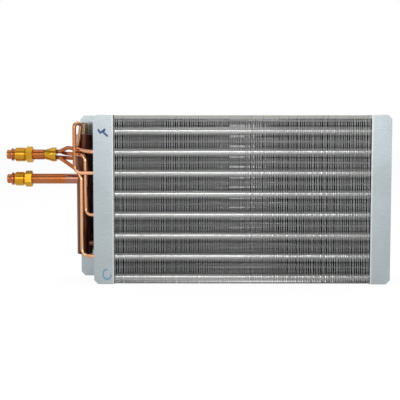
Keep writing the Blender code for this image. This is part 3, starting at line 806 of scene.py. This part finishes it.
class COIL_OT_end_plates(bpy.types.Operator):
    """Build the two folded end plates"""
    bl_idname = "coil.end_plates"
    bl_label = "End Plates"

    def execute(self, context):
        self.make_plate("left_plate", "left_end_plate", WEB_X, -1, LEFT_FRONT_FLANGE, WEB_X - LEFT_LOW.x,
                        "marked_zinc_sheet")
        width = RIGHT_HIGH.x - RIGHT_WEB_X
        self.make_plate("right_plate", "right_end_plate", RIGHT_WEB_X, 1, width, width, "zinc_sheet")
        return {'FINISHED'}

    @staticmethod
    def section(front, rear, short):
        """Outline of a plate's section, as (distance outwards, depth), flanges shortened by short."""
        fold = sizes().fold
        sheet = sizes().sheet
        depth = BACK_Y - FRONT_Y
        outer = [(front - short, 0.0)]
        inner = [(front - short, sheet)]
        for fold_depth, first in ((fold + sheet, -90), (depth - fold - sheet, 180)):
            for step in range(FOLD_FACETS + 1):
                angle = math.radians(first - 90 * step / FOLD_FACETS)
                across = Vector((math.cos(angle), math.sin(angle)))
                centre = Vector((fold + sheet, fold_depth))
                outer.append(tuple(centre + across * (fold + sheet)))
                inner.append(tuple(centre + across * fold))
        outer.append((rear - short, depth))
        inner.append((rear - short, depth - sheet))
        return outer + inner[::-1]

    def make_plate(self, name, node, web_x, outwards, front, rear, finish):
        top = LEFT_HIGH.z
        corner = sizes().corner
        rings = []
        for height, short in ((0.0, corner), (corner, 0.0), (top - corner, 0.0), (top, corner)):
            rings.append([Vector((web_x + outwards * along, FRONT_Y + depth, height))
                          for along, depth in self.section(front, rear, short)])
        bm = bmesh.new()
        loft(bm, rings, closed=False)
        low_x, high_x = sorted((web_x - outwards * HOLE_INWARDS, web_x + outwards * HOLE_OUTWARDS))
        radius = sizes().tube_radius + SEAT_GAP
        holes = [(tube_axis(tube, low_x), tube_axis(tube, high_x), radius) for tube in all_tubes()]
        finish_mesh(name, cut_mesh(name, bm, holes), finish, "galvanised_steel", (node,))


# Fins

def fill_loops(bm, *loops):
    """Triangles between closed loops of corners that lie across X."""
    edges = []
    for loop in loops:
        for vert, after in zip(loop, loop[1:] + loop[:1]):
            edges.append(bm.edges.get((vert, after)) or bm.edges.new((vert, after)))
    bmesh.ops.triangle_fill(bm, use_beauty=True, edges=edges, normal=ALONG_X)


def fold_depths():
    """Depths of a fin's folds: behind its front edge, between the rows of tubes and before its back edge."""
    between = [FRONT_Y + FIRST_ROW_DEPTH + (row - 0.5) * ROW_SPACING for row in range(1, ROW_COUNT)]
    return [FIN_LOW.y + sizes().ripple_depth] + between + [FIN_HIGH.y - sizes().ripple_depth]


def fin_face(bm, x):
    """One face of an unfolded fin, rippled at its front and back edge; returns its rim and holes."""
    steps = round((FIN_HIGH.z - FIN_LOW.z) / sizes().ripple_pitch) * RIPPLE_STEPS
    levels = [FIN_LOW.z + (FIN_HIGH.z - FIN_LOW.z) * step / steps for step in range(steps + 1)]
    edges = []
    for y, side in ((FIN_LOW.y, 1), (FIN_HIGH.y, -1)):
        swing = side * sizes().ripple
        edges.append([bm.verts.new((x + swing * math.sin(2 * math.pi * step / RIPPLE_STEPS), y, z))
                      for step, z in enumerate(levels)])
    lines = []
    depths = fold_depths()
    for y in depths:
        stride = RIPPLE_STEPS if y in (depths[0], depths[-1]) else len(levels) - 1
        lines.append([bm.verts.new((x, y, z)) for z in levels[::stride]])
    fill_loops(bm, edges[0] + lines[0][::-1])
    fill_loops(bm, edges[1] + lines[-1][::-1])
    radius = sizes().tube_radius + HOLE_FIT * sizes().collar_wall
    holes = []
    for row, (first, second) in enumerate(zip(lines, lines[1:]), start=1):
        axes = [tube_axis((row, number), x) for number in range(TUBES_PER_ROW)]
        rings = [[bm.verts.new(point) for point in ring_points(axis, ALONG_X, UP, radius, HOLE_FACETS)]
                 for axis in axes]
        fill_loops(bm, first + second[::-1], *rings)
        holes += rings
    rim = edges[0] + [line[-1] for line in lines] + edges[1][::-1] + [line[0] for line in reversed(lines)]
    return [rim] + holes


def fold_fin(bm):
    """Fold the flat fin: its straight runs lean to one side and the other in turn."""
    folds = [(y, 2 * (number % 2) - 1) for number, y in enumerate(fold_depths())]
    knots = [(FIN_LOW.y, 0)] + folds + [(FIN_HIGH.y, 0)]
    for vert in bm.verts:
        for (start, low), (end, high) in zip(knots, knots[1:]):
            if start <= vert.co.y < end:
                vert.co.x += sizes().fold_swing * (low + (high - low) * (vert.co.y - start) / (end - start))
                break


class COIL_OT_fins(bpy.types.Operator):
    """Build the fins and the sleeves that their collars make round the tubes"""
    bl_idname = "coil.fins"
    bl_label = "Fins"

    def execute(self, context):
        first_x = WEB_X + sizes().fin_clearance + sizes().ripple
        last_x = RIGHT_WEB_X - sizes().fin_clearance - sizes().ripple - sizes().fin_thickness
        pitch = (last_x - first_x) / (sizes().fin_count - 1)
        fin = linked("fin", self.one_fin(pitch))
        tree = self.repeat_tree()
        share = sizes().fin_count // len(FIN_GROUPS)
        for number, name in enumerate(FIN_GROUPS):
            first = number * share
            count = share if name != FIN_GROUPS[-1] else sizes().fin_count - first
            values = {"Fin": fin, "Count": count, "Seed": first, "Pitch": pitch,
                      "Start": (first_x + first * pitch, MID_DEPTH, 0.0),
                      "First": first_x, "Last": last_x, "Lean": sizes().fin_lean,
                      "Least waver": (-sizes().fin_shift, 0.0, -sizes().fin_waver),
                      "Most waver": (sizes().fin_shift, 0.0, sizes().fin_waver),
                      "Material": FINISHES["fin_aluminium"]}
            mesh = self.repeated(name, tree, values)
            finish_mesh(name, mesh, "fin_aluminium", "fin_aluminium", ("fin_pack",), crease=FIN_CREASE)
        bpy.data.objects.remove(fin, do_unlink=True)
        self.make_sleeves()
        return {'FINISHED'}

    @staticmethod
    def repeated(name, tree, values):
        """The mesh that the tree makes with these values."""
        carrier = linked(name, bpy.data.meshes.new(name))
        modifier = carrier.modifiers.new("repeat", 'NODES')
        modifier.node_group = tree
        for item in tree.interface.items_tree:
            if item.in_out == 'INPUT' and item.name in values:
                modifier[item.identifier] = values[item.name]
        mesh = evaluated_mesh(carrier)
        bpy.data.objects.remove(carrier, do_unlink=True)
        return mesh

    @staticmethod
    def one_fin(pitch):
        """A fin with a hole for every tube, rippled edges and tabs at the top and bottom, which carry
        painted light and painted shade; Y counts from its middle.
        """
        thickness = sizes().fin_thickness
        bm = bmesh.new()
        left, right = [fin_face(bm, across) for across in (0.0, thickness)]
        for first, second in zip(left, right):
            join_rings(bm, first, second)
        fold_fin(bm)
        for y in (FIN_LOW.y + TAB_DEPTH, FIN_HIGH.y - TAB_DEPTH):
            for low, high in ((FIN_LOW.z, FIN_LOW.z + sizes().tab_bottom),
                              (FIN_HIGH.z - sizes().tab_top, FIN_HIGH.z)):
                middle = Vector((pitch / 2, y, (low + high) / 2))
                spread = Matrix.Diagonal((pitch - TAB_GAP, thickness, high - low, 1.0))
                bmesh.ops.create_cube(bm, size=1.0, matrix=Matrix.Translation(middle) @ spread)
        bmesh.ops.translate(bm, verts=bm.verts, vec=(0.0, -MID_DEPTH, 0.0))
        return mesh_of("fin", bm)

    @staticmethod
    def repeat_tree():
        """Places copies of one piece along X, a pitch apart, each a little shifted and turned; the turn is
        greatest in the middle of the row."""
        tree = bpy.data.node_groups.new("repeat_along_tubes", 'GeometryNodeTree')
        kinds = {"Geometry": 'Geometry', "Fin": 'Object', "Count": 'Int', "Seed": 'Int', "Start": 'Vector',
                 "Pitch": 'Float', "First": 'Float', "Last": 'Float', "Lean": 'Float',
                 "Least waver": 'Vector', "Most waver": 'Vector', "Material": 'Material'}
        for name, kind in kinds.items():
            tree.interface.new_socket(name, in_out='INPUT', socket_type='NodeSocket' + kind)
        tree.interface.new_socket("Geometry", in_out='OUTPUT', socket_type='NodeSocketGeometry')
        m = NodeMaker(tree)
        given = {name: m.node('NodeGroupInput', {}, output=name) for name in kinds}
        step = m.node('ShaderNodeCombineXYZ', {}, given["Pitch"])
        line = m.node('GeometryNodeMeshLine', {}, Count=given["Count"], Start_Location=given["Start"],
                      Offset=step)
        waver = m.node('FunctionNodeRandomValue', {'data_type': 'FLOAT_VECTOR'}, Seed=given["Seed"],
                       Min=given["Least waver"], Max=given["Most waver"]).parts()
        shift = m.node('ShaderNodeCombineXYZ', {}, waver[0])
        moved = m.node('GeometryNodeSetPosition', {}, line, Offset=shift)
        along = m.node('GeometryNodeInputPosition', {}).parts()[0]
        share = m.node('ShaderNodeMapRange', {}, along, given["First"], given["Last"], 0.0, math.pi)
        lean = share.sine() * given["Lean"] + waver[2]
        rotation = m.node('ShaderNodeCombineXYZ', {}, None, None, lean)
        copy = m.node('GeometryNodeObjectInfo', {}, given["Fin"], output='Geometry')
        placed = m.node('GeometryNodeInstanceOnPoints', {}, Points=moved, Instance=copy, Rotation=rotation)
        real = m.node('GeometryNodeRealizeInstances', {}, placed)
        painted = m.node('GeometryNodeSetMaterial', {}, real, Material=given["Material"])
        m.node('NodeGroupOutput', {}, painted)
        return tree

    @staticmethod
    def make_sleeves():
        """The unbroken sleeve that the drawn collars make on every tube."""
        outer = sizes().tube_radius + sizes().collar_wall
        inner = sizes().tube_radius + SLEEVE_FIT
        bm = bmesh.new()
        for tube in all_tubes():
            ends = [tube_axis(tube, WEB_X + SLEEVE_GAP), tube_axis(tube, RIGHT_WEB_X - SLEEVE_GAP)]
            sweep(bm, [(end, ALONG_X, outer, inner) for end in ends])
        finish_piece("collars", bm, "collar_aluminium", "fin_aluminium")


# Hairpins, return bends and suction stubs

def leg_start_x():
    return WEB_X - sizes().sheet - BELL_GAP


def bell_end_x():
    return leg_start_x() - BELL_LENGTH


def leg_end(tube, necked):
    """Stations of a tube's open left end, from its mouth inwards: a bell, or a neck for a feed tube."""
    radius = sizes().tube_radius
    bore = radius - sizes().tube_wall
    mouth_bore = (sizes().feed_radius if necked else radius) + FIT
    mouth = mouth_bore + (NECK_WALL if necked else BELL_WALL)
    stations = [(tube_axis(tube, bell_end_x()), ALONG_X, mouth - FIT, mouth_bore),
                (tube_axis(tube, bell_end_x() + BELL_LIP), ALONG_X, mouth, mouth_bore)]
    for before, share in BELL_SHOULDER:
        stations.append((tube_axis(tube, leg_start_x() - before), ALONG_X, radius + (mouth - radius) * share,
                         bore + (mouth_bore - bore) * share))
    return stations


def stub_corners(tube):
    corner = tube_axis(tube, bell_end_x() - STUB_RUN)
    aim = (header_axis(corner.z) - corner).normalized()
    end = header_axis(corner.z) - aim * (HEADER_RADIUS - STUB_INSERTION)
    return [tube_axis(tube, bell_end_x() + SEAT_DEPTH), corner, end]


class COIL_OT_tubes(bpy.types.Operator):
    """Build the hairpins, return bends and suction stubs"""
    bl_idname = "coil.tubes"
    bl_label = "Tubes"

    def execute(self, context):
        radius = sizes().tube_radius
        bore = radius - sizes().tube_wall
        hairpin = 0
        returned = 0
        for circuit in CIRCUITS:
            for first, second in zip(circuit[::2], circuit[1::2]):
                hairpin += 1
                bend_x = RIGHT_WEB_X + sizes().sheet + HAIRPIN_REACH
                stations = leg_end(first, first == circuit[0])
                stations += self.u_bend(first, second, bend_x, ALONG_X)
                stations += [(centre, -direction, outer, inner)
                             for centre, direction, outer, inner in reversed(leg_end(second, False))]
                self.make_tube(f"hairpin_tube_{hairpin:02d}", stations, f"hairpin_{hairpin:02d}")
            for first, second in zip(circuit[1::2], circuit[2::2]):
                returned += 1
                seat_x = bell_end_x() + SEAT_DEPTH
                stations = [(tube_axis(first, seat_x), -ALONG_X, radius, bore)]
                stations += self.u_bend(first, second, bell_end_x() - RETURN_REACH, -ALONG_X)
                stations.append((tube_axis(second, seat_x), ALONG_X, radius, bore))
                self.make_tube(f"return_tube_{returned}", stations, f"return_bend_{returned}")
        for number, circuit in enumerate(CIRCUITS, start=1):
            corners = stub_corners(circuit[-1])
            stations = rounded_route(corners, STUB_BEND_RADIUS, STUB_BEND_STEP, radius, bore)
            self.make_tube(f"stub_tube_{number}", stations, f"suction_stub_{number}")
        return {'FINISHED'}

    @staticmethod
    def u_bend(first, second, x, into):
        """Stations of the half turn from one tube to a neighbour."""
        across = (tube_axis(second, 0.0) - tube_axis(first, 0.0)).normalized()
        radius = sizes().tube_radius
        return arc_stations(tube_axis(first, x), into, across, math.pi, BEND_RADIUS, BEND_FACETS, radius,
                            radius - sizes().tube_wall)

    @staticmethod
    def make_tube(name, stations, node):
        bm = bmesh.new()
        sweep(bm, stations)
        finish_piece(name, bm, "copper_tube", "copper", (node,))


# Suction header

def header_axis(z):
    return Vector((HEADER_AXIS.x, HEADER_AXIS.y, z))


class COIL_OT_header(bpy.types.Operator):
    """Build the suction header with its caps and top stub"""
    bl_idname = "coil.header"
    bl_label = "Suction Header"

    def execute(self, context):
        inner = HEADER_RADIUS - HEADER_WALL
        bm = bmesh.new()
        profile = ((HEADER_LOW.z, HEADER_RADIUS), (HEADER_HIGH.z, HEADER_RADIUS), (HEADER_HIGH.z, inner),
                   (HEADER_LOW.z, inner))
        turned(bm, profile, header_axis(0.0), axis=UP)
        holes = []
        for circuit in CIRCUITS:
            bell, corner, end = stub_corners(circuit[-1])
            start = end - (end - corner).normalized() * HEADER_RADIUS
            holes.append((start, header_axis(corner.z), sizes().tube_radius + FIT))
        outlet = header_axis(SUCTION_AXIS.z)
        holes.append((outlet - ALONG_X * 2 * HEADER_RADIUS, outlet, LINE_RADIUS + FIT))
        mesh = cut_mesh("header", bm, holes)
        finish_mesh("header", mesh, "burnt_copper", "heated_copper", ("suction_header",))
        self.make_caps(inner)
        self.make_stub()
        return {'FINISHED'}

    @staticmethod
    def make_caps(inner):
        rim = HEADER_LOW.z - CAP_LOW.z + CAP_RIM_GAP
        plug = inner - FIT
        for name, node, level, way in (("bottom_cap", "header_cap_bottom", CAP_LOW.z, 1),
                                       ("top_cap", "header_cap_top", CAP_HIGH.z, -1)):
            bm = bmesh.new()
            profile = ((0.0, HEADER_RADIUS - CAP_EDGE), (way * CAP_EDGE / 2, HEADER_RADIUS - CAP_EDGE / 4),
                       (way * CAP_EDGE, HEADER_RADIUS), (way * rim, HEADER_RADIUS), (way * rim, plug),
                       (way * (rim + CAP_PLUG), plug))
            turned(bm, profile, header_axis(level), axis=UP, closed=False)
            finish_piece(name, bm, "burnt_copper", "heated_copper", (node,))

    @staticmethod
    def make_stub():
        """A short tube with a rounded, closed top."""
        radius = (TOP_STUB_HIGH.x - TOP_STUB_LOW.x) / 2
        profile = [(CAP_HIGH.z - STUB_FOOT, radius)]
        profile += [(TOP_STUB_HIGH.z - below, radius - less) for below, less in STUB_DOME]
        bm = bmesh.new()
        turned(bm, profile, header_axis(0.0), axis=UP, closed=False)
        finish_piece("top_stub", bm, "braze_metal", "brass", ("header_top_stub",))


# Line tubes and swivel nuts

class COIL_OT_lines(bpy.types.Operator):
    """Build the two line tubes with their beads"""
    bl_idname = "coil.lines"
    bl_label = "Line Tubes"

    def execute(self, context):
        for name, node, axis, end in (("suction_line", "suction_tube", SUCTION_AXIS, SUCTION_HIGH.x),
                                      ("liquid_line", "liquid_tube", LIQUID_AXIS, LIQUID_HIGH.x)):
            bm = bmesh.new()
            turned(bm, self.profile(end - LINE_TIP), Vector((LINE_TIP, axis.y, axis.z)))
            finish_piece(name, bm, "copper_tube", "copper", (node,))
        return {'FINISHED'}

    @staticmethod
    def profile(end):
        """Outside and bore of a line from its tip: a chamfered pilot, a rolled bead and the tube."""
        bead_end = PILOT_LENGTH + BEAD_WIDTH
        middle = PILOT_LENGTH + BEAD_WIDTH / 2
        profile = [(along, PILOT_RADIUS - less) for along, less in PILOT_TIP]
        profile.append((PILOT_LENGTH - BEAD_MARGIN, PILOT_RADIUS))
        for step in range(BEAD_STEPS + 1):
            angle = math.pi * step / BEAD_STEPS
            low = PILOT_RADIUS if step < BEAD_STEPS / 2 else LINE_RADIUS
            swell = math.sin(angle) ** BEAD_FULLNESS if 0 < step < BEAD_STEPS else 0.0
            profile.append((middle - BEAD_WIDTH / 2 * math.cos(angle), low + (BEAD_RADIUS - low) * swell))
        bore = LINE_RADIUS - LINE_WALL
        return profile + [(bead_end + BEAD_MARGIN, LINE_RADIUS), (end, LINE_RADIUS), (end, bore),
                          (bead_end, bore), (PILOT_LENGTH, PILOT_RADIUS - LINE_WALL),
                          (0.0, PILOT_RADIUS - LINE_WALL)]


class COIL_OT_nuts(bpy.types.Operator):
    """Build the two swivel nuts"""
    bl_idname = "coil.nuts"
    bl_label = "Swivel Nuts"

    def execute(self, context):
        for node, nut in (("suction_nut", SUCTION_NUT), ("liquid_nut", LIQUID_NUT)):
            thread_length, hex_length, turned_by = nut
            low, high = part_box(node)
            place = Vector((low.x, (low.y + high.y) / 2, (low.z + high.z) / 2))
            profile, hexed = self.profile(thread_length, thread_length + hex_length)
            bm = bmesh.new()
            turned(bm, profile, place, sides=NUT_FACETS, turned_by=turned_by, hexed=hexed)
            finish_piece("nut_" + node[:-4], bm, "turned_brass", "brass", (node,), body=node)
        return {'FINISHED'}

    @staticmethod
    def profile(thread_length, end):
        """Outside and bore of a nut from its open end, and which of its rings are hexagons."""
        pitch = sizes().thread_pitch
        root = THREAD_RADIUS - THREAD_DEPTH * pitch
        groove_start = thread_length - GROOVE
        groove = THREAD_RADIUS - GROOVE_DEPTH
        ridges = int((groove_start - THREAD_START) / pitch)
        profile = [(along, THREAD_RADIUS - less) for along, less in NUT_MOUTH]
        for ridge in range(ridges):
            at = THREAD_START + ridge * pitch
            profile.append((at, root))
            profile += [(at + share * pitch, THREAD_RADIUS) for share in THREAD_CREST]
        profile += [(THREAD_START + ridges * pitch, root), (groove_start + GROOVE_RAMP, groove),
                    (thread_length, groove), (thread_length, HEX_HALF - HEX_EDGE)]
        hexed = (len(profile), len(profile) + 1)
        profile += [(thread_length + HEX_EDGE, HEX_HALF - HEX_TRIM), (end - HEX_EDGE, HEX_HALF - HEX_TRIM),
                    (end, HEX_HALF - HEX_EDGE), (end, LINE_RADIUS + NUT_BORE_GAP),
                    (0.0, LINE_RADIUS + NUT_BORE_GAP)]
        return profile, hexed


# Distributor and feed tubes

def port_centre(port, x):
    front, up = port
    return Vector((x, LIQUID_AXIS.y + front * PORT_SPREAD, LIQUID_Z + up * PORT_SPREAD))


class COIL_OT_distributor(bpy.types.Operator):
    """Build the distributor and its feed tubes"""
    bl_idname = "coil.distributor"
    bl_label = "Distributor and Feed Tubes"

    def execute(self, context):
        self.make_cone()
        radius = sizes().feed_radius
        for number, ((port, bends), circuit) in enumerate(zip(FEEDS, CIRCUITS), start=1):
            corners = self.corners(port, bends, circuit[0])
            stations = rounded_route(corners, sizes().feed_bend, FEED_BEND_STEP, radius, radius - FEED_WALL)
            bm = bmesh.new()
            sweep(bm, stations, sides=FEED_FACETS)
            finish_piece(f"feed_line_{number}", bm, "feed_copper", "copper", (f"feed_tube_{number}",))
        return {'FINISHED'}

    @staticmethod
    def make_cone():
        """A spigot in the liquid tube, a cone that widens to a rim, and four drilled ports."""
        face = DISTRIBUTOR_HIGH.x
        start = LIQUID_HIGH.x + SEAT_GAP
        large = (DISTRIBUTOR_HIGH.z - DISTRIBUTOR_LOW.z) / 2
        profile = list(CONE_START)
        profile += [(face - start - before, large - less) for before, less in CONE_END]
        bm = bmesh.new()
        turned(bm, profile, Vector((start, LIQUID_AXIS.y, LIQUID_Z)), closed=False)
        radius = sizes().feed_radius + FIT
        ports = [(port_centre(port, face - PORT_DEPTH), port_centre(port, face + PORT_DEPTH), radius)
                 for port, bends in FEEDS]
        mesh = cut_mesh("distributor_cone", bm, ports)
        finish_mesh("distributor_cone", mesh, "turned_brass", "brass", ("distributor",))

    @staticmethod
    def corners(port, bends, inlet):
        """Corners of a feed tube's route from its port round the header to its inlet."""
        neck = tube_axis(inlet, bell_end_x())
        corners = [port_centre(port, DISTRIBUTOR_HIGH.x - FEED_INSERTION),
                   port_centre(port, DISTRIBUTOR_HIGH.x + FEED_STRAIGHT)]
        for degrees, gap, height in bends:
            distance = HEADER_RADIUS + sizes().feed_radius + gap
            angle = math.radians(degrees)
            level = neck.z if height is None else height
            corners.append(header_axis(level) + Vector((math.cos(angle), math.sin(angle), 0.0)) * distance)
        return corners + [neck - ALONG_X * INLET_RUN, neck + ALONG_X * FEED_INSERTION]


# Stage

class COIL_OT_stage(bpy.types.Operator):
    """Set up the camera, the lamps, the floor and the white surroundings"""
    bl_idname = "coil.stage"
    bl_label = "Stage"

    def execute(self, context):
        self.make_camera(context)
        self.make_floor()
        self.make_world(context)
        self.make_lamps()
        context.scene.view_settings.view_transform = 'Standard'
        return {'FINISHED'}

    @staticmethod
    def make_camera(context):
        camera = bpy.data.cameras.new("camera")
        camera.sensor_width = SENSOR
        camera.lens = FOCAL_PIXELS / PHOTO_PIXELS * SENSOR
        camera.clip_end = CAMERA_REACH
        holder = linked("camera", camera)
        holder.location = (WEB_X + CAMERA_RIGHT, FRONT_Y - CAMERA_DISTANCE, CAMERA_HEIGHT)
        holder.rotation_euler = (math.pi / 2 - CAMERA_PITCH, 0.0, CAMERA_YAW)
        context.scene.camera = holder

    @staticmethod
    def make_floor():
        """A pale floor that the camera sees nearly white, with the object's shadow on it."""
        mesh = bpy.data.meshes.new("floor")
        corners = ((-1, -1), (1, -1), (1, 1), (-1, 1))
        mesh.from_pydata([(FLOOR_HALF * x, FLOOR_HALF * y, 0.0) for x, y in corners], [], [range(4)])
        floor = linked("floor", mesh)
        f = Finish("floor_white")
        f.set('Base Color', (0.5, 0.5, 0.5))
        f.set('Roughness', 0.9)
        camera_ray, reflected = f.ray_kinds()
        shown = (FLOOR_GLOW * camera_ray).most(FLOOR_REFLECTED * reflected)
        glow = f.node('ShaderNodeEmission', {}, (1.0, 1.0, 1.0), FLOOR_WHITE)
        mixed = f.node('ShaderNodeMixShader', {}, shown, Value(f, f.shader.outputs[0]), glow)
        f.feed(f.tree.nodes['Material Output'].inputs[0], mixed)
        mesh.materials.append(f.material)
        floor.location.z = -FLOOR_DROP

    @staticmethod
    def make_world(context):
        """White for the camera, white walls with grey corners for metal, plain dim light for the rest."""
        world = bpy.data.worlds.new("studio")
        context.scene.world = world
        world.use_nodes = True
        world.node_tree.nodes.clear()
        m = NodeMaker(world.node_tree)
        camera_ray, reflected = m.ray_kinds()
        x, y = m.node('ShaderNodeTexCoord', {}, output='Generated').parts()[:2]
        walls = m.node('ShaderNodeMapRange', {'interpolation_type': 'SMOOTHSTEP'}, x.size().most(y.size()),
                       WALL_EDGE, WALL_MIDDLE, CORNER_GLOW, 1.0)
        white = m.node('ShaderNodeBackground', {}, (1.0, 1.0, 1.0), walls.most(camera_ray))
        room = m.node('ShaderNodeBackground', {}, ROOM_COLOUR, ROOM_LIGHT)
        mixed = m.node('ShaderNodeMixShader', {}, camera_ray.most(reflected), room, white)
        m.node('ShaderNodeOutputWorld', {}, mixed)

    @staticmethod
    def make_lamps():
        for name, place, aim, size, power in LAMPS:
            light = bpy.data.lights.new(name, 'AREA')
            light.shape = 'RECTANGLE'
            light.size, light.size_y = size
            light.energy = power
            holder = linked(name, light)
            holder.location = place
            direction = Vector(aim) - Vector(place)
            holder.rotation_euler = direction.to_track_quat('-Z', 'Y').to_euler()


class COIL_PT_panel(bpy.types.Panel):
    """Lists the coil's builders in the sidebar"""
    bl_idname = "COIL_PT_panel"
    bl_label = "Evaporator Coil"
    bl_space_type = 'VIEW_3D'
    bl_region_type = 'UI'
    bl_category = "Coil"

    def draw(self, context):
        for builder in BUILDERS:
            self.layout.operator(builder.bl_idname)
        for group in (context.scene.coil_sizes, context.scene.coil_colours):
            for name in group.__annotations__:
                self.layout.prop(group, name)


BUILDERS = (COIL_OT_finishes, COIL_OT_end_plates, COIL_OT_fins, COIL_OT_tubes, COIL_OT_header, COIL_OT_lines,
            COIL_OT_nuts, COIL_OT_distributor, COIL_OT_stage)
CLASSES = (CoilSizes, CoilColours) + BUILDERS + (COIL_PT_panel,)


def register():
    for cls in CLASSES:
        bpy.utils.register_class(cls)
    bpy.types.Scene.coil_sizes = PointerProperty(type=CoilSizes)
    bpy.types.Scene.coil_colours = PointerProperty(type=CoilColours)


def unregister():
    del bpy.types.Scene.coil_colours
    del bpy.types.Scene.coil_sizes
    for cls in reversed(CLASSES):
        bpy.utils.unregister_class(cls)


def main():
    register()
    for builder in BUILDERS:
        group, name = builder.bl_idname.split(".")
        getattr(getattr(bpy.ops, group), name)()


if __name__ == "__main__":
    main()
